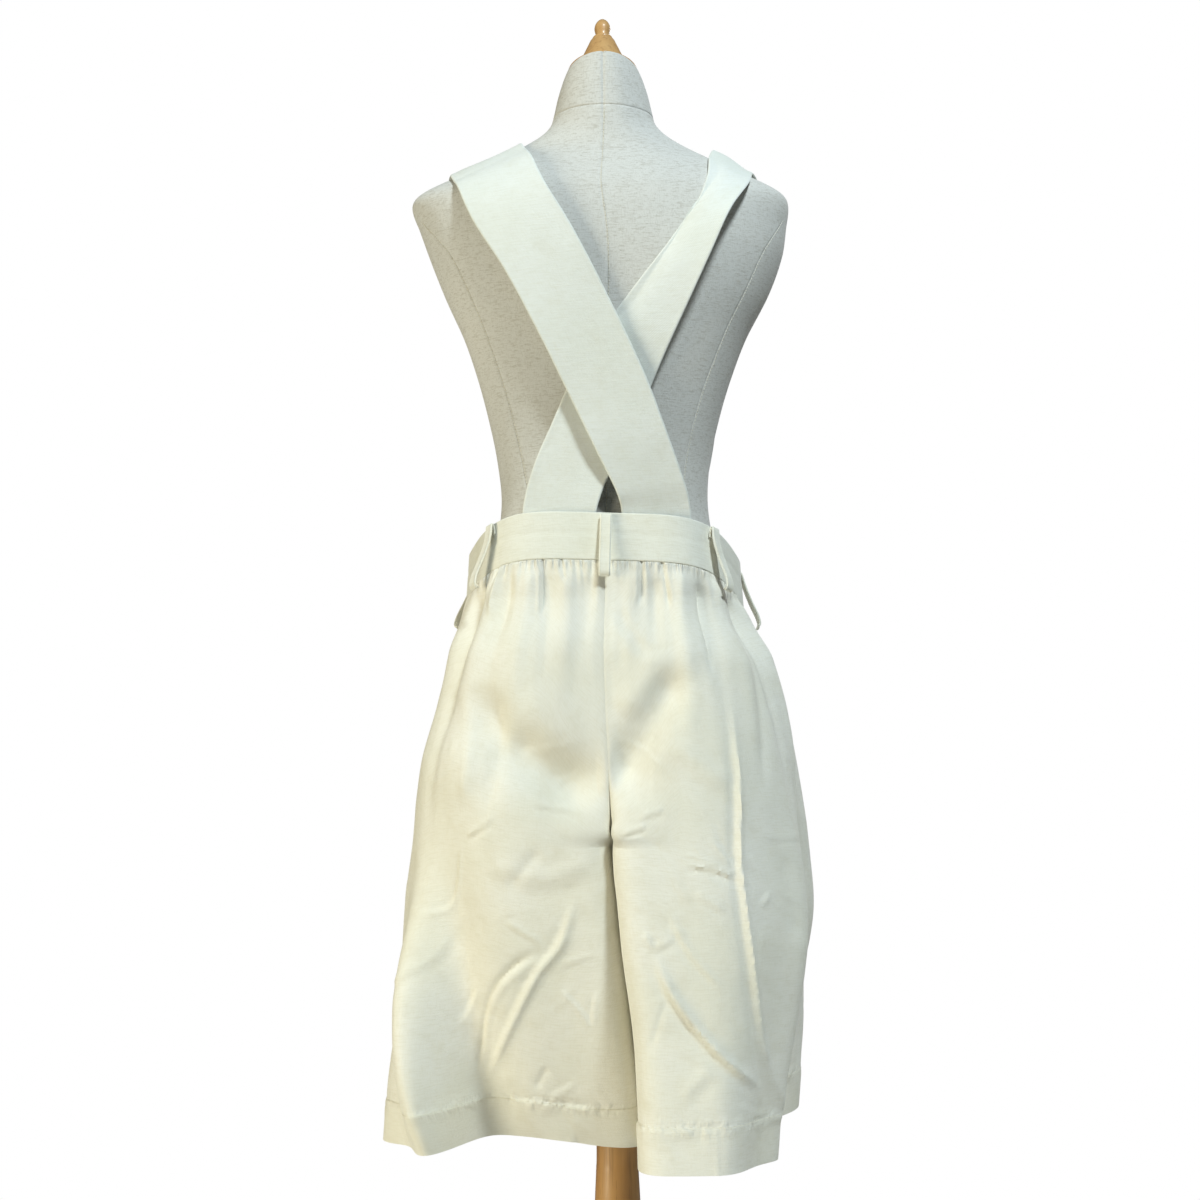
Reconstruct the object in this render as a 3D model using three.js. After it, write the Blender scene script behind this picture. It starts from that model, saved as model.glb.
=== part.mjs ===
// Wide gathered shorts with a straight waistband and two shoulder straps crossed on the back,
// hanging on a limbless dress form with a turned wooden stand.
// Millimetres, +Z up. The back of the garment faces -Y and the wearer's left is on -X.
// The origin is the centre of the stand's base, on the floor.

import * as THREE from 'three';

// ---------- driving dimensions ----------
const SEAM_GAP = 0.3;            // room between two pieces that are sewn or set together
const CLOTH = 2;                 // wall of the panels
const STRAP_CLOTH = 2;           // wall of a strap, two layers of cloth
const BAND_CLOTH = 3;            // wall of the waistband, two layers and their stiffening

const BAND_HEIGHT = 48.5;        // waistband, from edge to edge
const BAND_SIDE_Z = 988;         // height of the band's top edge at the side seams
const BAND_TILT = 0.374;         // rise of the band towards the back, per millimetre of depth
const BAND_LEAN = 0.035;         // rise of the band towards the wearer's left
const BAND_TOP = { side: 137.5, back: 93.5, front: 97 };
const BAND_FOOT = { side: 141, back: 98, front: 100 };
// Squareness of the band seen from above: the back is flat with two corners, the front is oval.
const BAND_SQUARE = { back: { across: 5, deep: 1 }, front: { across: 2.12, deep: 2.12 } };
const BAND_LAP_X = 15;           // where the front band's left half ends over the right half

const CROTCH = { x: 34, y: 1, z: 700 };   // beside the pole
const HEM_Z = 401;
const PANEL_COLUMNS = { back: 36, front: 24 };
const PANEL_ROWS = [0, 0.014, 0.04, 0.075, 0.12, 0.18, 0.25, 0.32, 0.365, 0.393, 0.405, 0.43, 0.455, 0.468,
  0.476, 0.483, 0.51, 0.57, 0.67, 0.78, 0.89, 1];

const LOOP_WIDTH = 10.5;
const LOOP_CLOTH = 1.6;
const LOOP_BOW = 12;             // how far a belt loop stands off the band at its foot

const POLE_RADIUS = 21;
const BASE_RADIUS = 195;
const BASE_HEIGHT = 46;
const NECK_TILT = 0.33;          // radians that the neck's top leans forward
const WORN_X = -8;               // where the garment's centre hangs beside the stand's axis

// ---------- small helpers ----------
const clamp01 = (t) => Math.min(1, Math.max(0, t));
const lerp = (a, b, t) => a + (b - a) * t;
const smooth = (t) => clamp01(t) ** 2 * (3 - 2 * clamp01(t));
const signedPower = (value, power) => Math.sign(value) * Math.abs(value) ** power;

// Value of one column at a height or station, on a smooth curve through the rows of a table.
function column(rows, key, name, at) {
  const last = rows.length - 1;
  const rising = rows[last][key] > rows[0][key];
  const past = (row) => (rising ? row[key] > at : row[key] < at);
  let i = rows.findIndex(past) - 1;
  if (i === -1) return rows[0][name];
  if (i < 0) return rows[last][name];
  i = Math.min(i, last - 1);
  const slope = (k) => {
    const before = rows[Math.max(k - 1, 0)];
    const after = rows[Math.min(k + 1, last)];
    return (after[name] - before[name]) / (after[key] - before[key]);
  };
  const span = rows[i + 1][key] - rows[i][key];
  const t = (at - rows[i][key]) / span;
  const square = t * t;
  const cube = square * t;
  return (2 * cube - 3 * square + 1) * rows[i][name] + (cube - 2 * square + t) * span * slope(i)
    + (3 * square - 2 * cube) * rows[i + 1][name] + (cube - square) * span * slope(i + 1);
}

// ---------- solids from grids ----------
// A closed solid from rows of points; the first and last rows are closed by caps.
function solidFromRings(rings) {
  const count = rings[0].length;
  const points = rings.flat();
  const faces = [];
  for (let j = 0; j < rings.length - 1; j += 1) {
    for (let i = 0; i < count; i += 1) {
      const a = j * count + i;
      const b = j * count + ((i + 1) % count);
      faces.push([a, b, b + count], [a, b + count, a + count]);
    }
  }
  const cap = (row, flip) => {
    const centre = points.length;
    const mean = new THREE.Vector3();
    rings[row].forEach((point) => mean.add(point));
    points.push(mean.divideScalar(count));
    for (let i = 0; i < count; i += 1) {
      const pair = [row * count + i, row * count + ((i + 1) % count)];
      if (flip) pair.reverse();
      faces.push([centre, ...pair]);
    }
  };
  cap(0, true);
  cap(rings.length - 1, false);
  return outwardGeometry(points, faces);
}

// A wall between an outer and an inner grid of the same size, with its four rims.
function wallFromGrids(outer, inner) {
  const rows = outer.length;
  const columns = outer[0].length;
  const points = [...outer.flat(), ...inner.flat()];
  const out = (j, i) => j * columns + i;
  const into = (j, i) => rows * columns + j * columns + i;
  const faces = [];
  const quad = (a, b, c, d) => faces.push([a, b, c], [a, c, d]);
  for (let j = 0; j < rows - 1; j += 1) {
    for (let i = 0; i < columns - 1; i += 1) {
      quad(out(j, i), out(j, i + 1), out(j + 1, i + 1), out(j + 1, i));
      quad(into(j, i), into(j + 1, i), into(j + 1, i + 1), into(j, i + 1));
    }
    quad(out(j, 0), out(j + 1, 0), into(j + 1, 0), into(j, 0));
    quad(out(j, columns - 1), into(j, columns - 1), into(j + 1, columns - 1), out(j + 1, columns - 1));
  }
  for (let i = 0; i < columns - 1; i += 1) {
    quad(out(0, i), into(0, i), into(0, i + 1), out(0, i + 1));
    quad(out(rows - 1, i), out(rows - 1, i + 1), into(rows - 1, i + 1), into(rows - 1, i));
  }
  return outwardGeometry(points, faces);
}

// Triangles with their faces turned outwards.
function outwardGeometry(points, faces) {
  let volume = 0;
  const normal = new THREE.Vector3();
  faces.forEach(([a, b, c]) => {
    volume += points[a].dot(normal.crossVectors(points[b], points[c]));
  });
  const geometry = new THREE.BufferGeometry();
  geometry.setAttribute('position', new THREE.Float32BufferAttribute(
    points.flatMap((point) => point.toArray()), 3));
  geometry.setIndex(faces.flatMap(([a, b, c]) => (volume > 0 ? [a, b, c] : [a, c, b])));
  geometry.computeVertexNormals();
  return geometry;
}

// The inner face of a wall: every point moved in along the surface's own normal, which a seam
// may first turn along itself.
function insetGrid(outer, thickness, outward, alongSeam = () => {}) {
  const last = outer.length - 1;
  const normals = outer.map((row, j) => row.map((point, i) => {
    const along = new THREE.Vector3().subVectors(
      row[Math.min(i + 1, row.length - 1)], row[Math.max(i - 1, 0)]);
    const down = new THREE.Vector3().subVectors(
      outer[Math.min(j + 1, last)][i], outer[Math.max(j - 1, 0)][i]);
    return along.cross(down).normalize();
  }));
  let facing = 0;
  outer.forEach((row, j) => row.forEach((point, i) => {
    facing += normals[j][i].dot(outward(point));
  }));
  return outer.map((row, j) => row.map((point, i) => {
    const normal = normals[j][i].multiplyScalar(Math.sign(facing));
    alongSeam(normal, point, i);
    return point.clone().addScaledVector(normal.normalize(), -thickness);
  }));
}

// ---------- the dress form ----------
const FORM_ROWS = [
  { z: 773, x: 2, half: 142, back: 98, front: 84, square: 2.2 },
  { z: 790, x: 2, half: 149, back: 106, front: 88, square: 2.2 },
  { z: 850, x: 2, half: 149, back: 110, front: 88, square: 2.2 },
  { z: 905, x: 2, half: 136.5, back: 102, front: 84, square: 2.2 },
  { z: 945, x: 1.5, half: 125, back: 91, front: 82, square: 2.2 },
  { z: 985, x: 1, half: 114.5, back: 80, front: 82, square: 2.2 },
  { z: 1020, x: 0.5, half: 106.5, back: 74, front: 83, square: 2.2 },
  { z: 1050, x: 0.5, half: 104.5, back: 73, front: 85, square: 2.2 },
  { z: 1087, x: 0, half: 108.5, back: 76, front: 90, square: 2.2 },
  { z: 1130, x: 0.5, half: 118, back: 83, front: 100, square: 2.2 },
  { z: 1170, x: 1.5, half: 129.5, back: 90, front: 112, square: 2.2 },
  { z: 1208, x: 2.5, half: 143, back: 95, front: 121, square: 2.2 },
  { z: 1249, x: 4.5, half: 162.5, back: 98, front: 117, square: 2.2 },
  { z: 1290, x: 4, half: 178.5, back: 98, front: 98, square: 2.15 },
  { z: 1320, x: 1, half: 186, back: 94, front: 78, square: 2.1 },
  { z: 1342, x: -1.5, half: 190.5, back: 88, front: 62, square: 2.05 },
  { z: 1353, x: -1.5, half: 184, back: 83, front: 54, square: 2 },
  { z: 1368, x: -0.5, half: 155, back: 74, front: 45, square: 1.95 },
  { z: 1388, x: 1, half: 111, back: 63, front: 37, square: 1.85 },
  { z: 1402, x: 1.5, half: 81.5, back: 59, front: 34, square: 1.85 },
  { z: 1413, x: 2, half: 63.5, back: 57, front: 34, square: 1.9 },
  { z: 1423, x: 2, half: 54, back: 55.5, front: 36, square: 2 },
  { z: 1433, x: 2, half: 50.5, back: 54, front: 37, square: 2 },
  { z: 1452, x: 2, half: 46, back: 51, front: 34, square: 2 },
  { z: 1466, x: 2, half: 41.5, back: 48, front: 32, square: 2 },
  { z: 1474, x: 2, half: 38, back: 46, front: 30, square: 2 },
];
const FORM_COLUMNS = 34;
const NECK_Z = 1433;             // where the neck begins to lean
const NECK_TOP_Z = 1474;
const NECK_X = 2;
const NECK_CENTRE_Y = -8;

const formColumn = (name, z) => column(FORM_ROWS, 'z', name, z);

// How far out a point lies from the form's skin, and the direction straight out of it.
function formGap(point) {
  const reach = (x, y, z) => {
    const square = formColumn('square', z);
    const depth = y < 0 ? formColumn('back', z) : formColumn('front', z);
    const across = Math.abs(x - formColumn('x', z)) / formColumn('half', z);
    return (across ** square + (Math.abs(y) / depth) ** square) ** (1 / square);
  };
  const { x, y, z } = point;
  const step = 0.5;
  const slope = new THREE.Vector3(
    reach(x + step, y, z) - reach(x - step, y, z),
    reach(x, y + step, z) - reach(x, y - step, z),
    reach(x, y, z + step) - reach(x, y, z - step)).divideScalar(2 * step);
  return { gap: (reach(x, y, z) - 1) / slope.length(), out: slope.normalize() };
}

function clearOfForm(point, clearance) {
  for (let pass = 0; pass < 6; pass += 1) {
    const { gap, out } = formGap(point);
    if (gap >= clearance) break;
    point.addScaledVector(out, clearance - gap);
  }
  return point;
}

function formTorso() {
  const rings = FORM_ROWS.map((row) => {
    const lean = NECK_TILT * clamp01((row.z - NECK_Z) / (NECK_TOP_Z - NECK_Z));
    return Array.from({ length: FORM_COLUMNS }, (_, i) => {
      const angle = (i / FORM_COLUMNS) * 2 * Math.PI;
      const x = row.half * signedPower(Math.cos(angle), 2 / row.square);
      const depth = Math.sin(angle) < 0 ? row.back : row.front;
      const y = depth * signedPower(Math.sin(angle), 2 / row.square);
      return new THREE.Vector3(row.x + x, y, row.z - Math.tan(lean) * (y - NECK_CENTRE_Y));
    });
  });
  return solidFromRings(rings);
}

// A turned piece: its profile is given as pairs of radius and height.
function turned(profile, segments = 28) {
  const points = profile.map(([radius, height]) => new THREE.Vector2(radius, height));
  return new THREE.LatheGeometry(points, segments).rotateX(Math.PI / 2);
}

const CAP_HEIGHT = 3;
const CAP_RADIUS = 35.5;
const neckCap = () => turned([[0, 0], [CAP_RADIUS, 0], [CAP_RADIUS, CAP_HEIGHT - 0.8],
  [CAP_RADIUS - 0.8, CAP_HEIGHT], [0, CAP_HEIGHT]], 24);

const finial = () => turned([[0, 0], [26, 0], [26, 4], [24, 9], [21.5, 15], [19, 21], [16.6, 27], [14.6, 32],
  [12.9, 36.2], [10, 37.6], [10.7, 38.8], [10.7, 40.2], [7.2, 41.6], [6.6, 44], [6.9, 47], [7.8, 50.4],
  [8.2, 53.3], [7.6, 57], [6.1, 60], [4.4, 62.3], [2.2, 64.2], [0, 65]], 14);

const standPole = (top) => turned([[0, 0], [34, 0], [36, 8], [30, 20], [24, 30], [26, 48], [32, 90],
  [35, 130], [34, 165], [29, 205], [25, 235], [29, 243], [29, 251], [24.5, 259], [23, 290],
  [POLE_RADIUS, 335], [POLE_RADIUS, 640], [24, 700], [32, 712], [34, 718], [34, top], [0, top]], 20);

const standBase = () => turned([[0, 0], [BASE_RADIUS - 5, 0], [BASE_RADIUS, 5], [BASE_RADIUS, 14],
  [BASE_RADIUS - 8, 24], [BASE_RADIUS - 40, 29], [90, 33], [58, 39], [50, BASE_HEIGHT],
  [0, BASE_HEIGHT]], 36);

// ---------- the waistband ----------
const bandTopZ = (x, y) => BAND_SIDE_Z - BAND_TILT * y - BAND_LEAN * x;
const bandFootZ = (x, y) => bandTopZ(x, y) - BAND_HEIGHT;

// A point of an oval round the waist: turn 0 is the side on +X, -90 degrees the centre back.
function ovalPoint(oval, turn) {
  const face = Math.sin(turn) < 0 ? 'back' : 'front';
  const { across, deep } = BAND_SQUARE[face];
  return [oval.side * signedPower(Math.cos(turn), 2 / across),
    oval[face] * signedPower(Math.sin(turn), 2 / deep)];
}

// Evenly spaced points along a stretch of that oval.
function ovalStretch(oval, from, to, count) {
  const along = measured(Array.from({ length: 161 }, (_, i) => ovalPoint(oval, lerp(from, to, i / 160))));
  return Array.from({ length: count + 1 }, (_, i) => along(i / count));
}

// A function that gives the point at a share of a flat path's length.
function measured(path) {
  const lengths = [0];
  for (let i = 1; i < path.length; i += 1) {
    lengths.push(lengths[i - 1] + Math.hypot(path[i][0] - path[i - 1][0], path[i][1] - path[i - 1][1]));
  }
  const total = lengths[lengths.length - 1];
  return (share) => {
    const target = total * share;
    let k = 0;
    while (k < path.length - 2 && lengths[k + 1] < target) k += 1;
    const t = (target - lengths[k]) / (lengths[k + 1] - lengths[k]);
    return [lerp(path[k][0], path[k + 1][0], t), lerp(path[k][1], path[k + 1][1], t)];
  };
}

// Steps along two paths that meet, the first of which takes the given share of them.
function blendedSteps(first, second, share, count) {
  const onFirst = measured(first);
  const onSecond = measured(second);
  return Array.from({ length: count + 1 }, (_, i) => {
    const u = i / count;
    return u < share ? onFirst(u / share) : onSecond((u - share) / (1 - share));
  });
}

const awayFromAxis = (point) => new THREE.Vector3(point.x, point.y, 0);

function bandPiece(from, to, steps) {
  const top = ovalStretch(BAND_TOP, from, to, steps);
  const foot = ovalStretch(BAND_FOOT, from, to, steps);
  const outer = [0, 0.5, 1].map((t) => top.map((edge, i) => new THREE.Vector3(
    lerp(edge[0], foot[i][0], t), lerp(edge[1], foot[i][1], t),
    lerp(bandTopZ(...edge), bandFootZ(...foot[i]), t))));
  const alongSideSeam = (normal, point) => {
    if (Math.abs(point.y) < 1) normal.y = 0;
  };
  return wallFromGrids(outer, insetGrid(outer, BAND_CLOTH, awayFromAxis, alongSideSeam));
}

// ---------- the panels ----------
// Plan of each leg: its side seam, the point that stands furthest out at the back and at the
// front, and how near to the other leg its inner side comes.
const LEGS = {
  left: [
    { z: 941, sideX: -141, sideY: 0, backX: -55, backY: -104, frontX: -55, frontY: 98, innerX: 0 },
    { z: 900, sideX: -150, sideY: 2, backX: -60, backY: -119, frontX: -60, frontY: 101, innerX: 0 },
    { z: 840, sideX: -168, sideY: 4, backX: -64, backY: -130, frontX: -66, frontY: 109, innerX: 0 },
    { z: 780, sideX: -187, sideY: 4, backX: -66, backY: -136, frontX: -72, frontY: 117, innerX: 0 },
    { z: 700, sideX: -197, sideY: 2, backX: -66, backY: -137, frontX: -78, frontY: 124, innerX: 6 },
    { z: 620, sideX: -206, sideY: 0, backX: -62, backY: -130, frontX: -84, frontY: 128, innerX: 13 },
    { z: 540, sideX: -212, sideY: -4, backX: -56, backY: -115, frontX: -90, frontY: 130, innerX: 21 },
    { z: 460, sideX: -223, sideY: -8, backX: -44, backY: -92, frontX: -96, frontY: 132, innerX: 28 },
    { z: 400, sideX: -228, sideY: -10, backX: -32, backY: -66, frontX: -98, frontY: 132, innerX: 33 },
  ],
  right: [
    { z: 941, sideX: 142, sideY: 0, backX: 55, backY: -104, frontX: 55, frontY: 98, innerX: 0 },
    { z: 900, sideX: 158, sideY: 4, backX: 60, backY: -121, frontX: 60, frontY: 101, innerX: 0 },
    { z: 840, sideX: 179, sideY: 8, backX: 64, backY: -135, frontX: 66, frontY: 110, innerX: 0 },
    { z: 780, sideX: 194, sideY: 14, backX: 70, backY: -146, frontX: 76, frontY: 122, innerX: 0 },
    { z: 700, sideX: 206, sideY: 22, backX: 78, backY: -157, frontX: 90, frontY: 130, innerX: 6 },
    { z: 620, sideX: 211, sideY: 28, backX: 84, backY: -167, frontX: 104, frontY: 138, innerX: 8 },
    { z: 540, sideX: 193, sideY: 30, backX: 90, backY: -176, frontX: 116, frontY: 148, innerX: 15 },
    { z: 460, sideX: 169, sideY: 30, backX: 95, backY: -185, frontX: 126, frontY: 160, innerX: 24 },
    { z: 400, sideX: 157, sideY: 30, backX: 99, backY: -192, frontX: 130, frontY: 168, innerX: 31 },
  ],
};

// Where the centre seams run, down to the crotch, which lies beside the pole.
const CENTRE = [
  { z: 975, x: 0, backY: -97, frontY: 96 },
  { z: 900, x: -2, backY: -116, frontY: 99 },
  { z: 840, x: -1, backY: -125, frontY: 103 },
  { z: 790, x: 1, backY: -127, frontY: 102 },
  { z: 750, x: 3, backY: -124, frontY: 97 },
  { z: 725, x: 4.5, backY: -116, frontY: 84 },
  { z: 710, x: 7, backY: -96, frontY: 60 },
  { z: CROTCH.z, x: CROTCH.x, backY: CROTCH.y, frontY: CROTCH.y },
];
// Where the two inseams run below the crotch.
const INSEAM = [
  { z: CROTCH.z, x: CROTCH.x, y: CROTCH.y },
  { z: 640, x: 35, y: 2 },
  { z: 400, x: 37, y: 4 },
];
const CENTRE_DIVIDES_Z = 750;    // where the two legs begin to part
const LEG_X = { left: -90, right: 110 };   // a line inside each leg
const LEG_PARTING = 2;           // half the room between the two inseams at the hem
const PLAN_SQUARE = 2.25;
const INNER_SQUARE = { left: 4.8, right: 4.4 };   // how square the plan turns in between the legs
const INNER_TUCK = 0.4;          // share of its depth in which the right leg's inner side tucks in
const REACH_SHARE = { waist: 0.7, hem: 0.55 };   // share of a panel from its side seam to its reach

// Folds of each panel: where each starts and ends along the panel (0 at the side seam, 1 at the
// centre seam), from which part of its length to which, its half width and its height or depth.
const FOLDS = {
  back_left: [
    { start: 0.2, end: 0.14, from: 0, to: 0.5, width: 14, depth: 5, hem: 0 },
    { start: 0.31, end: 0.24, from: 0, to: 0.55, width: 11, depth: -9, hem: 0 },
    { start: 0.42, end: 0.36, from: 0, to: 0.55, width: 12, depth: 6, hem: 0 },
    { start: 0.53, end: 0.47, from: 0, to: 0.3, width: 8, depth: -4, hem: 0 },
    { start: 0.62, end: 0.57, from: 0, to: 0.35, width: 9, depth: 4, hem: 0 },
    { start: 0.72, end: 0.7, from: 0, to: 0.25, width: 7, depth: -4, hem: 0 },
    { start: 0.82, end: 0.8, from: 0, to: 0.3, width: 8, depth: 4, hem: 0 },
    { start: 0.92, end: 0.9, from: 0, to: 0.2, width: 6, depth: -3, hem: 0 },
    { start: 0.26, end: 0.215, from: 0.4, to: 1.6, width: 24, depth: 12, hem: 60 },
    { start: 0.37, end: 0.32, from: 0.3, to: 1.6, width: 36, depth: -14, hem: -24 },
  ],
  back_right: [
    { start: 0.1, end: 0.09, from: 0, to: 0.5, width: 10, depth: -8, hem: 0 },
    { start: 0.19, end: 0.2, from: 0, to: 0.6, width: 10, depth: 7, hem: 0 },
    { start: 0.28, end: 0.3, from: 0, to: 0.55, width: 9, depth: -7, hem: 0 },
    { start: 0.4, end: 0.4, from: 0, to: 0.45, width: 12, depth: 6, hem: 0 },
    { start: 0.52, end: 0.52, from: 0, to: 0.3, width: 8, depth: -5, hem: 0 },
    { start: 0.63, end: 0.64, from: 0, to: 0.4, width: 10, depth: 5, hem: 0 },
    { start: 0.75, end: 0.76, from: 0, to: 0.25, width: 7, depth: -4, hem: 0 },
    { start: 0.87, end: 0.88, from: 0, to: 0.25, width: 7, depth: 3, hem: 0 },
    { start: 0.17, end: 0.16, from: 0.2, to: 1.6, width: 30, depth: -16, hem: -12 },
    { start: 0.3, end: 0.34, from: 0.3, to: 1.6, width: 22, depth: 9, hem: 15 },
  ],
  front_left: [
    { start: 0.15, end: 0.12, from: 0, to: 0.5, width: 12, depth: 5, hem: 0 },
    { start: 0.33, end: 0.3, from: 0, to: 0.4, width: 10, depth: -5, hem: 0 },
    { start: 0.5, end: 0.47, from: 0, to: 0.45, width: 11, depth: 5, hem: 0 },
    { start: 0.68, end: 0.66, from: 0, to: 0.3, width: 9, depth: -4, hem: 0 },
    { start: 0.3, end: 0.26, from: 0.3, to: 1.6, width: 34, depth: -16, hem: -28 },
    { start: 0.5, end: 0.46, from: 0.3, to: 1.6, width: 30, depth: 10, hem: 18 },
  ],
  front_right: [
    { start: 0.12, end: 0.13, from: 0, to: 0.5, width: 12, depth: -6, hem: 0 },
    { start: 0.3, end: 0.3, from: 0, to: 0.4, width: 10, depth: 4, hem: 0 },
    { start: 0.48, end: 0.48, from: 0, to: 0.45, width: 11, depth: -5, hem: 0 },
    { start: 0.66, end: 0.66, from: 0, to: 0.3, width: 9, depth: 4, hem: 0 },
    { start: 0.3, end: 0.32, from: 0.3, to: 1.6, width: 42, depth: 12, hem: 50 },
    { start: 0.62, end: 0.64, from: 0.3, to: 1.6, width: 30, depth: -10, hem: -22 },
  ],
};
const PUFF = 3;                  // how far the gathers swell out just under the band
const HEM_LIFT = { back_left: 12, back_right: 0, front_left: 4, front_right: 11 };

// Plan of one panel at a height, without its folds: even steps from the side seam to the point
// that stands furthest out, and from there to the centre seam or the inseam.
function planCurve(side, face, z, v, count) {
  const at = (name) => column(LEGS[side], 'z', name, z);
  const sign = side === 'left' ? -1 : 1;
  const turn = face === 'back' ? -1 : 1;
  const away = SEAM_GAP / 2;
  const seam = [at('sideX'), at('sideY') + turn * away];
  const reach = [at(`${face}X`), at(`${face}Y`)];
  const parting = LEG_PARTING * clamp01((CROTCH.z - z) / (CROTCH.z - HEM_Z));
  const [line, depthName] = z > CROTCH.z ? [CENTRE, `${face}Y`] : [INSEAM, 'y'];
  const endX = column(line, 'z', 'x', z) + sign * (away + parting);
  const endY = column(line, 'z', depthName, z) + turn * away;
  const innerX = lerp(endX, at('innerX') + sign * away, smooth((CROTCH.z + 14 - z) / 14));
  const power = 2 / PLAN_SQUARE;
  const quarter = Array.from({ length: 49 }, (_, i) => (i / 48) * (Math.PI / 2));
  const outside = quarter.map((angle) => [
    reach[0] + (seam[0] - reach[0]) * Math.max(0, Math.cos(angle)) ** power,
    seam[1] + (reach[1] - seam[1]) * Math.sin(angle) ** power]);
  const turnIn = 2 / lerp(PLAN_SQUARE, INNER_SQUARE[side], smooth((CENTRE_DIVIDES_Z - z) / 60));
  const inside = quarter.map((angle) => {
    const depth = 1 - Math.max(0, Math.cos(angle)) ** turnIn;
    const tuck = side === 'left' ? depth * depth : smooth(depth / INNER_TUCK);
    return [reach[0] + (innerX - reach[0]) * Math.sin(angle) ** turnIn + (endX - innerX) * tuck,
      lerp(reach[1], endY, depth)];
  });
  return blendedSteps(outside, inside, lerp(REACH_SHARE.waist, REACH_SHARE.hem, smooth(v)), count);
}

function foldHeight(name, u, v, arc) {
  let height = 0;
  FOLDS[name].forEach((fold) => {
    const t = clamp01((v - fold.from) / (fold.to - fold.from));
    if (t <= 0 && fold.from > 0) return;
    const place = lerp(fold.start, fold.end, clamp01(v / Math.min(fold.to, 1)));
    const lasting = fold.to > 1;
    const rise = lasting ? smooth((v - fold.from) / 0.35) : smooth(v / 0.05) * (1 - smooth(t));
    const depth = lasting ? lerp(fold.depth, fold.hem, smooth((v - 0.4) / 0.6)) : fold.depth;
    const offset = ((u - place) * arc) / fold.width;
    height += depth * rise * Math.exp(-offset * offset);
  });
  return height;
}

// One panel as rows of points from the band to the hem.
function panelGrid(side, face) {
  const name = `${face}_${side}`;
  const sign = side === 'left' ? -1 : 1;
  const turn = face === 'back' ? -1 : 1;
  const columns = PANEL_COLUMNS[face];
  const waist = ovalStretch(BAND_FOOT, 0, (turn * Math.PI) / 2, columns);
  const grid = PANEL_ROWS.map((v) => waist.map(([waistX, waistY], i) => {
    const u = i / columns;
    const topZ = bandFootZ(sign * waistX, waistY) - SEAM_GAP;
    const hemZ = HEM_Z + HEM_LIFT[name] * Math.exp(-(((u - 0.42) / 0.17) ** 2));
    const z = lerp(topZ, hemZ, v);
    const curve = planCurve(side, face, z, v, columns);
    const before = curve[Math.max(i - 1, 0)];
    const after = curve[Math.min(i + 1, columns)];
    const step = Math.hypot(after[0] - before[0], after[1] - before[1]);
    const arc = (step * columns) / (Math.min(i + 1, columns) - Math.max(i - 1, 0));
    const outX = (sign * turn * -(after[1] - before[1])) / step;
    const outY = (sign * turn * (after[0] - before[0])) / step;
    const offSide = smooth(u / 0.06);
    const offCentre = smooth((1 - u) / 0.06);
    const puff = PUFF * smooth(v / 0.03) * (1 - smooth((v - 0.03) / 0.2));
    const height = foldHeight(name, u, v, arc) * offSide * offCentre + puff;
    const settle = smooth(v / 0.09);
    const seamShift = (sign * SEAM_GAP) / 2;
    const plainX = lerp(sign * waistX + (u === 1 ? seamShift : 0), curve[i][0], settle);
    const plainY = lerp(waistY + (u === 0 ? (turn * SEAM_GAP) / 2 : 0), curve[i][1], settle);
    return new THREE.Vector3(plainX - outX * height * offCentre, plainY - outY * height * offSide, z);
  }));
  return grid;
}

function panel(side, face) {
  const outer = panelGrid(side, face);
  const outward = (point) => new THREE.Vector3(point.x - LEG_X[side], point.y, 0);
  const towardsBack = face === 'back' ? 1 : -1;
  const towardsOther = side === 'left' ? 1 : -1;
  const alongSeam = (normal, point, i) => {
    if (i > 0 && i < PANEL_COLUMNS[face]) return;
    const centreSeam = i > 0 && point.z > CROTCH.z;
    if (centreSeam && normal.x * towardsOther < 0) normal.x = 0;
    if (!centreSeam && normal.y * towardsBack < 0) normal.y = 0;
  };
  return wallFromGrids(outer, insetGrid(outer, CLOTH, outward, alongSeam));
}

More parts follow.
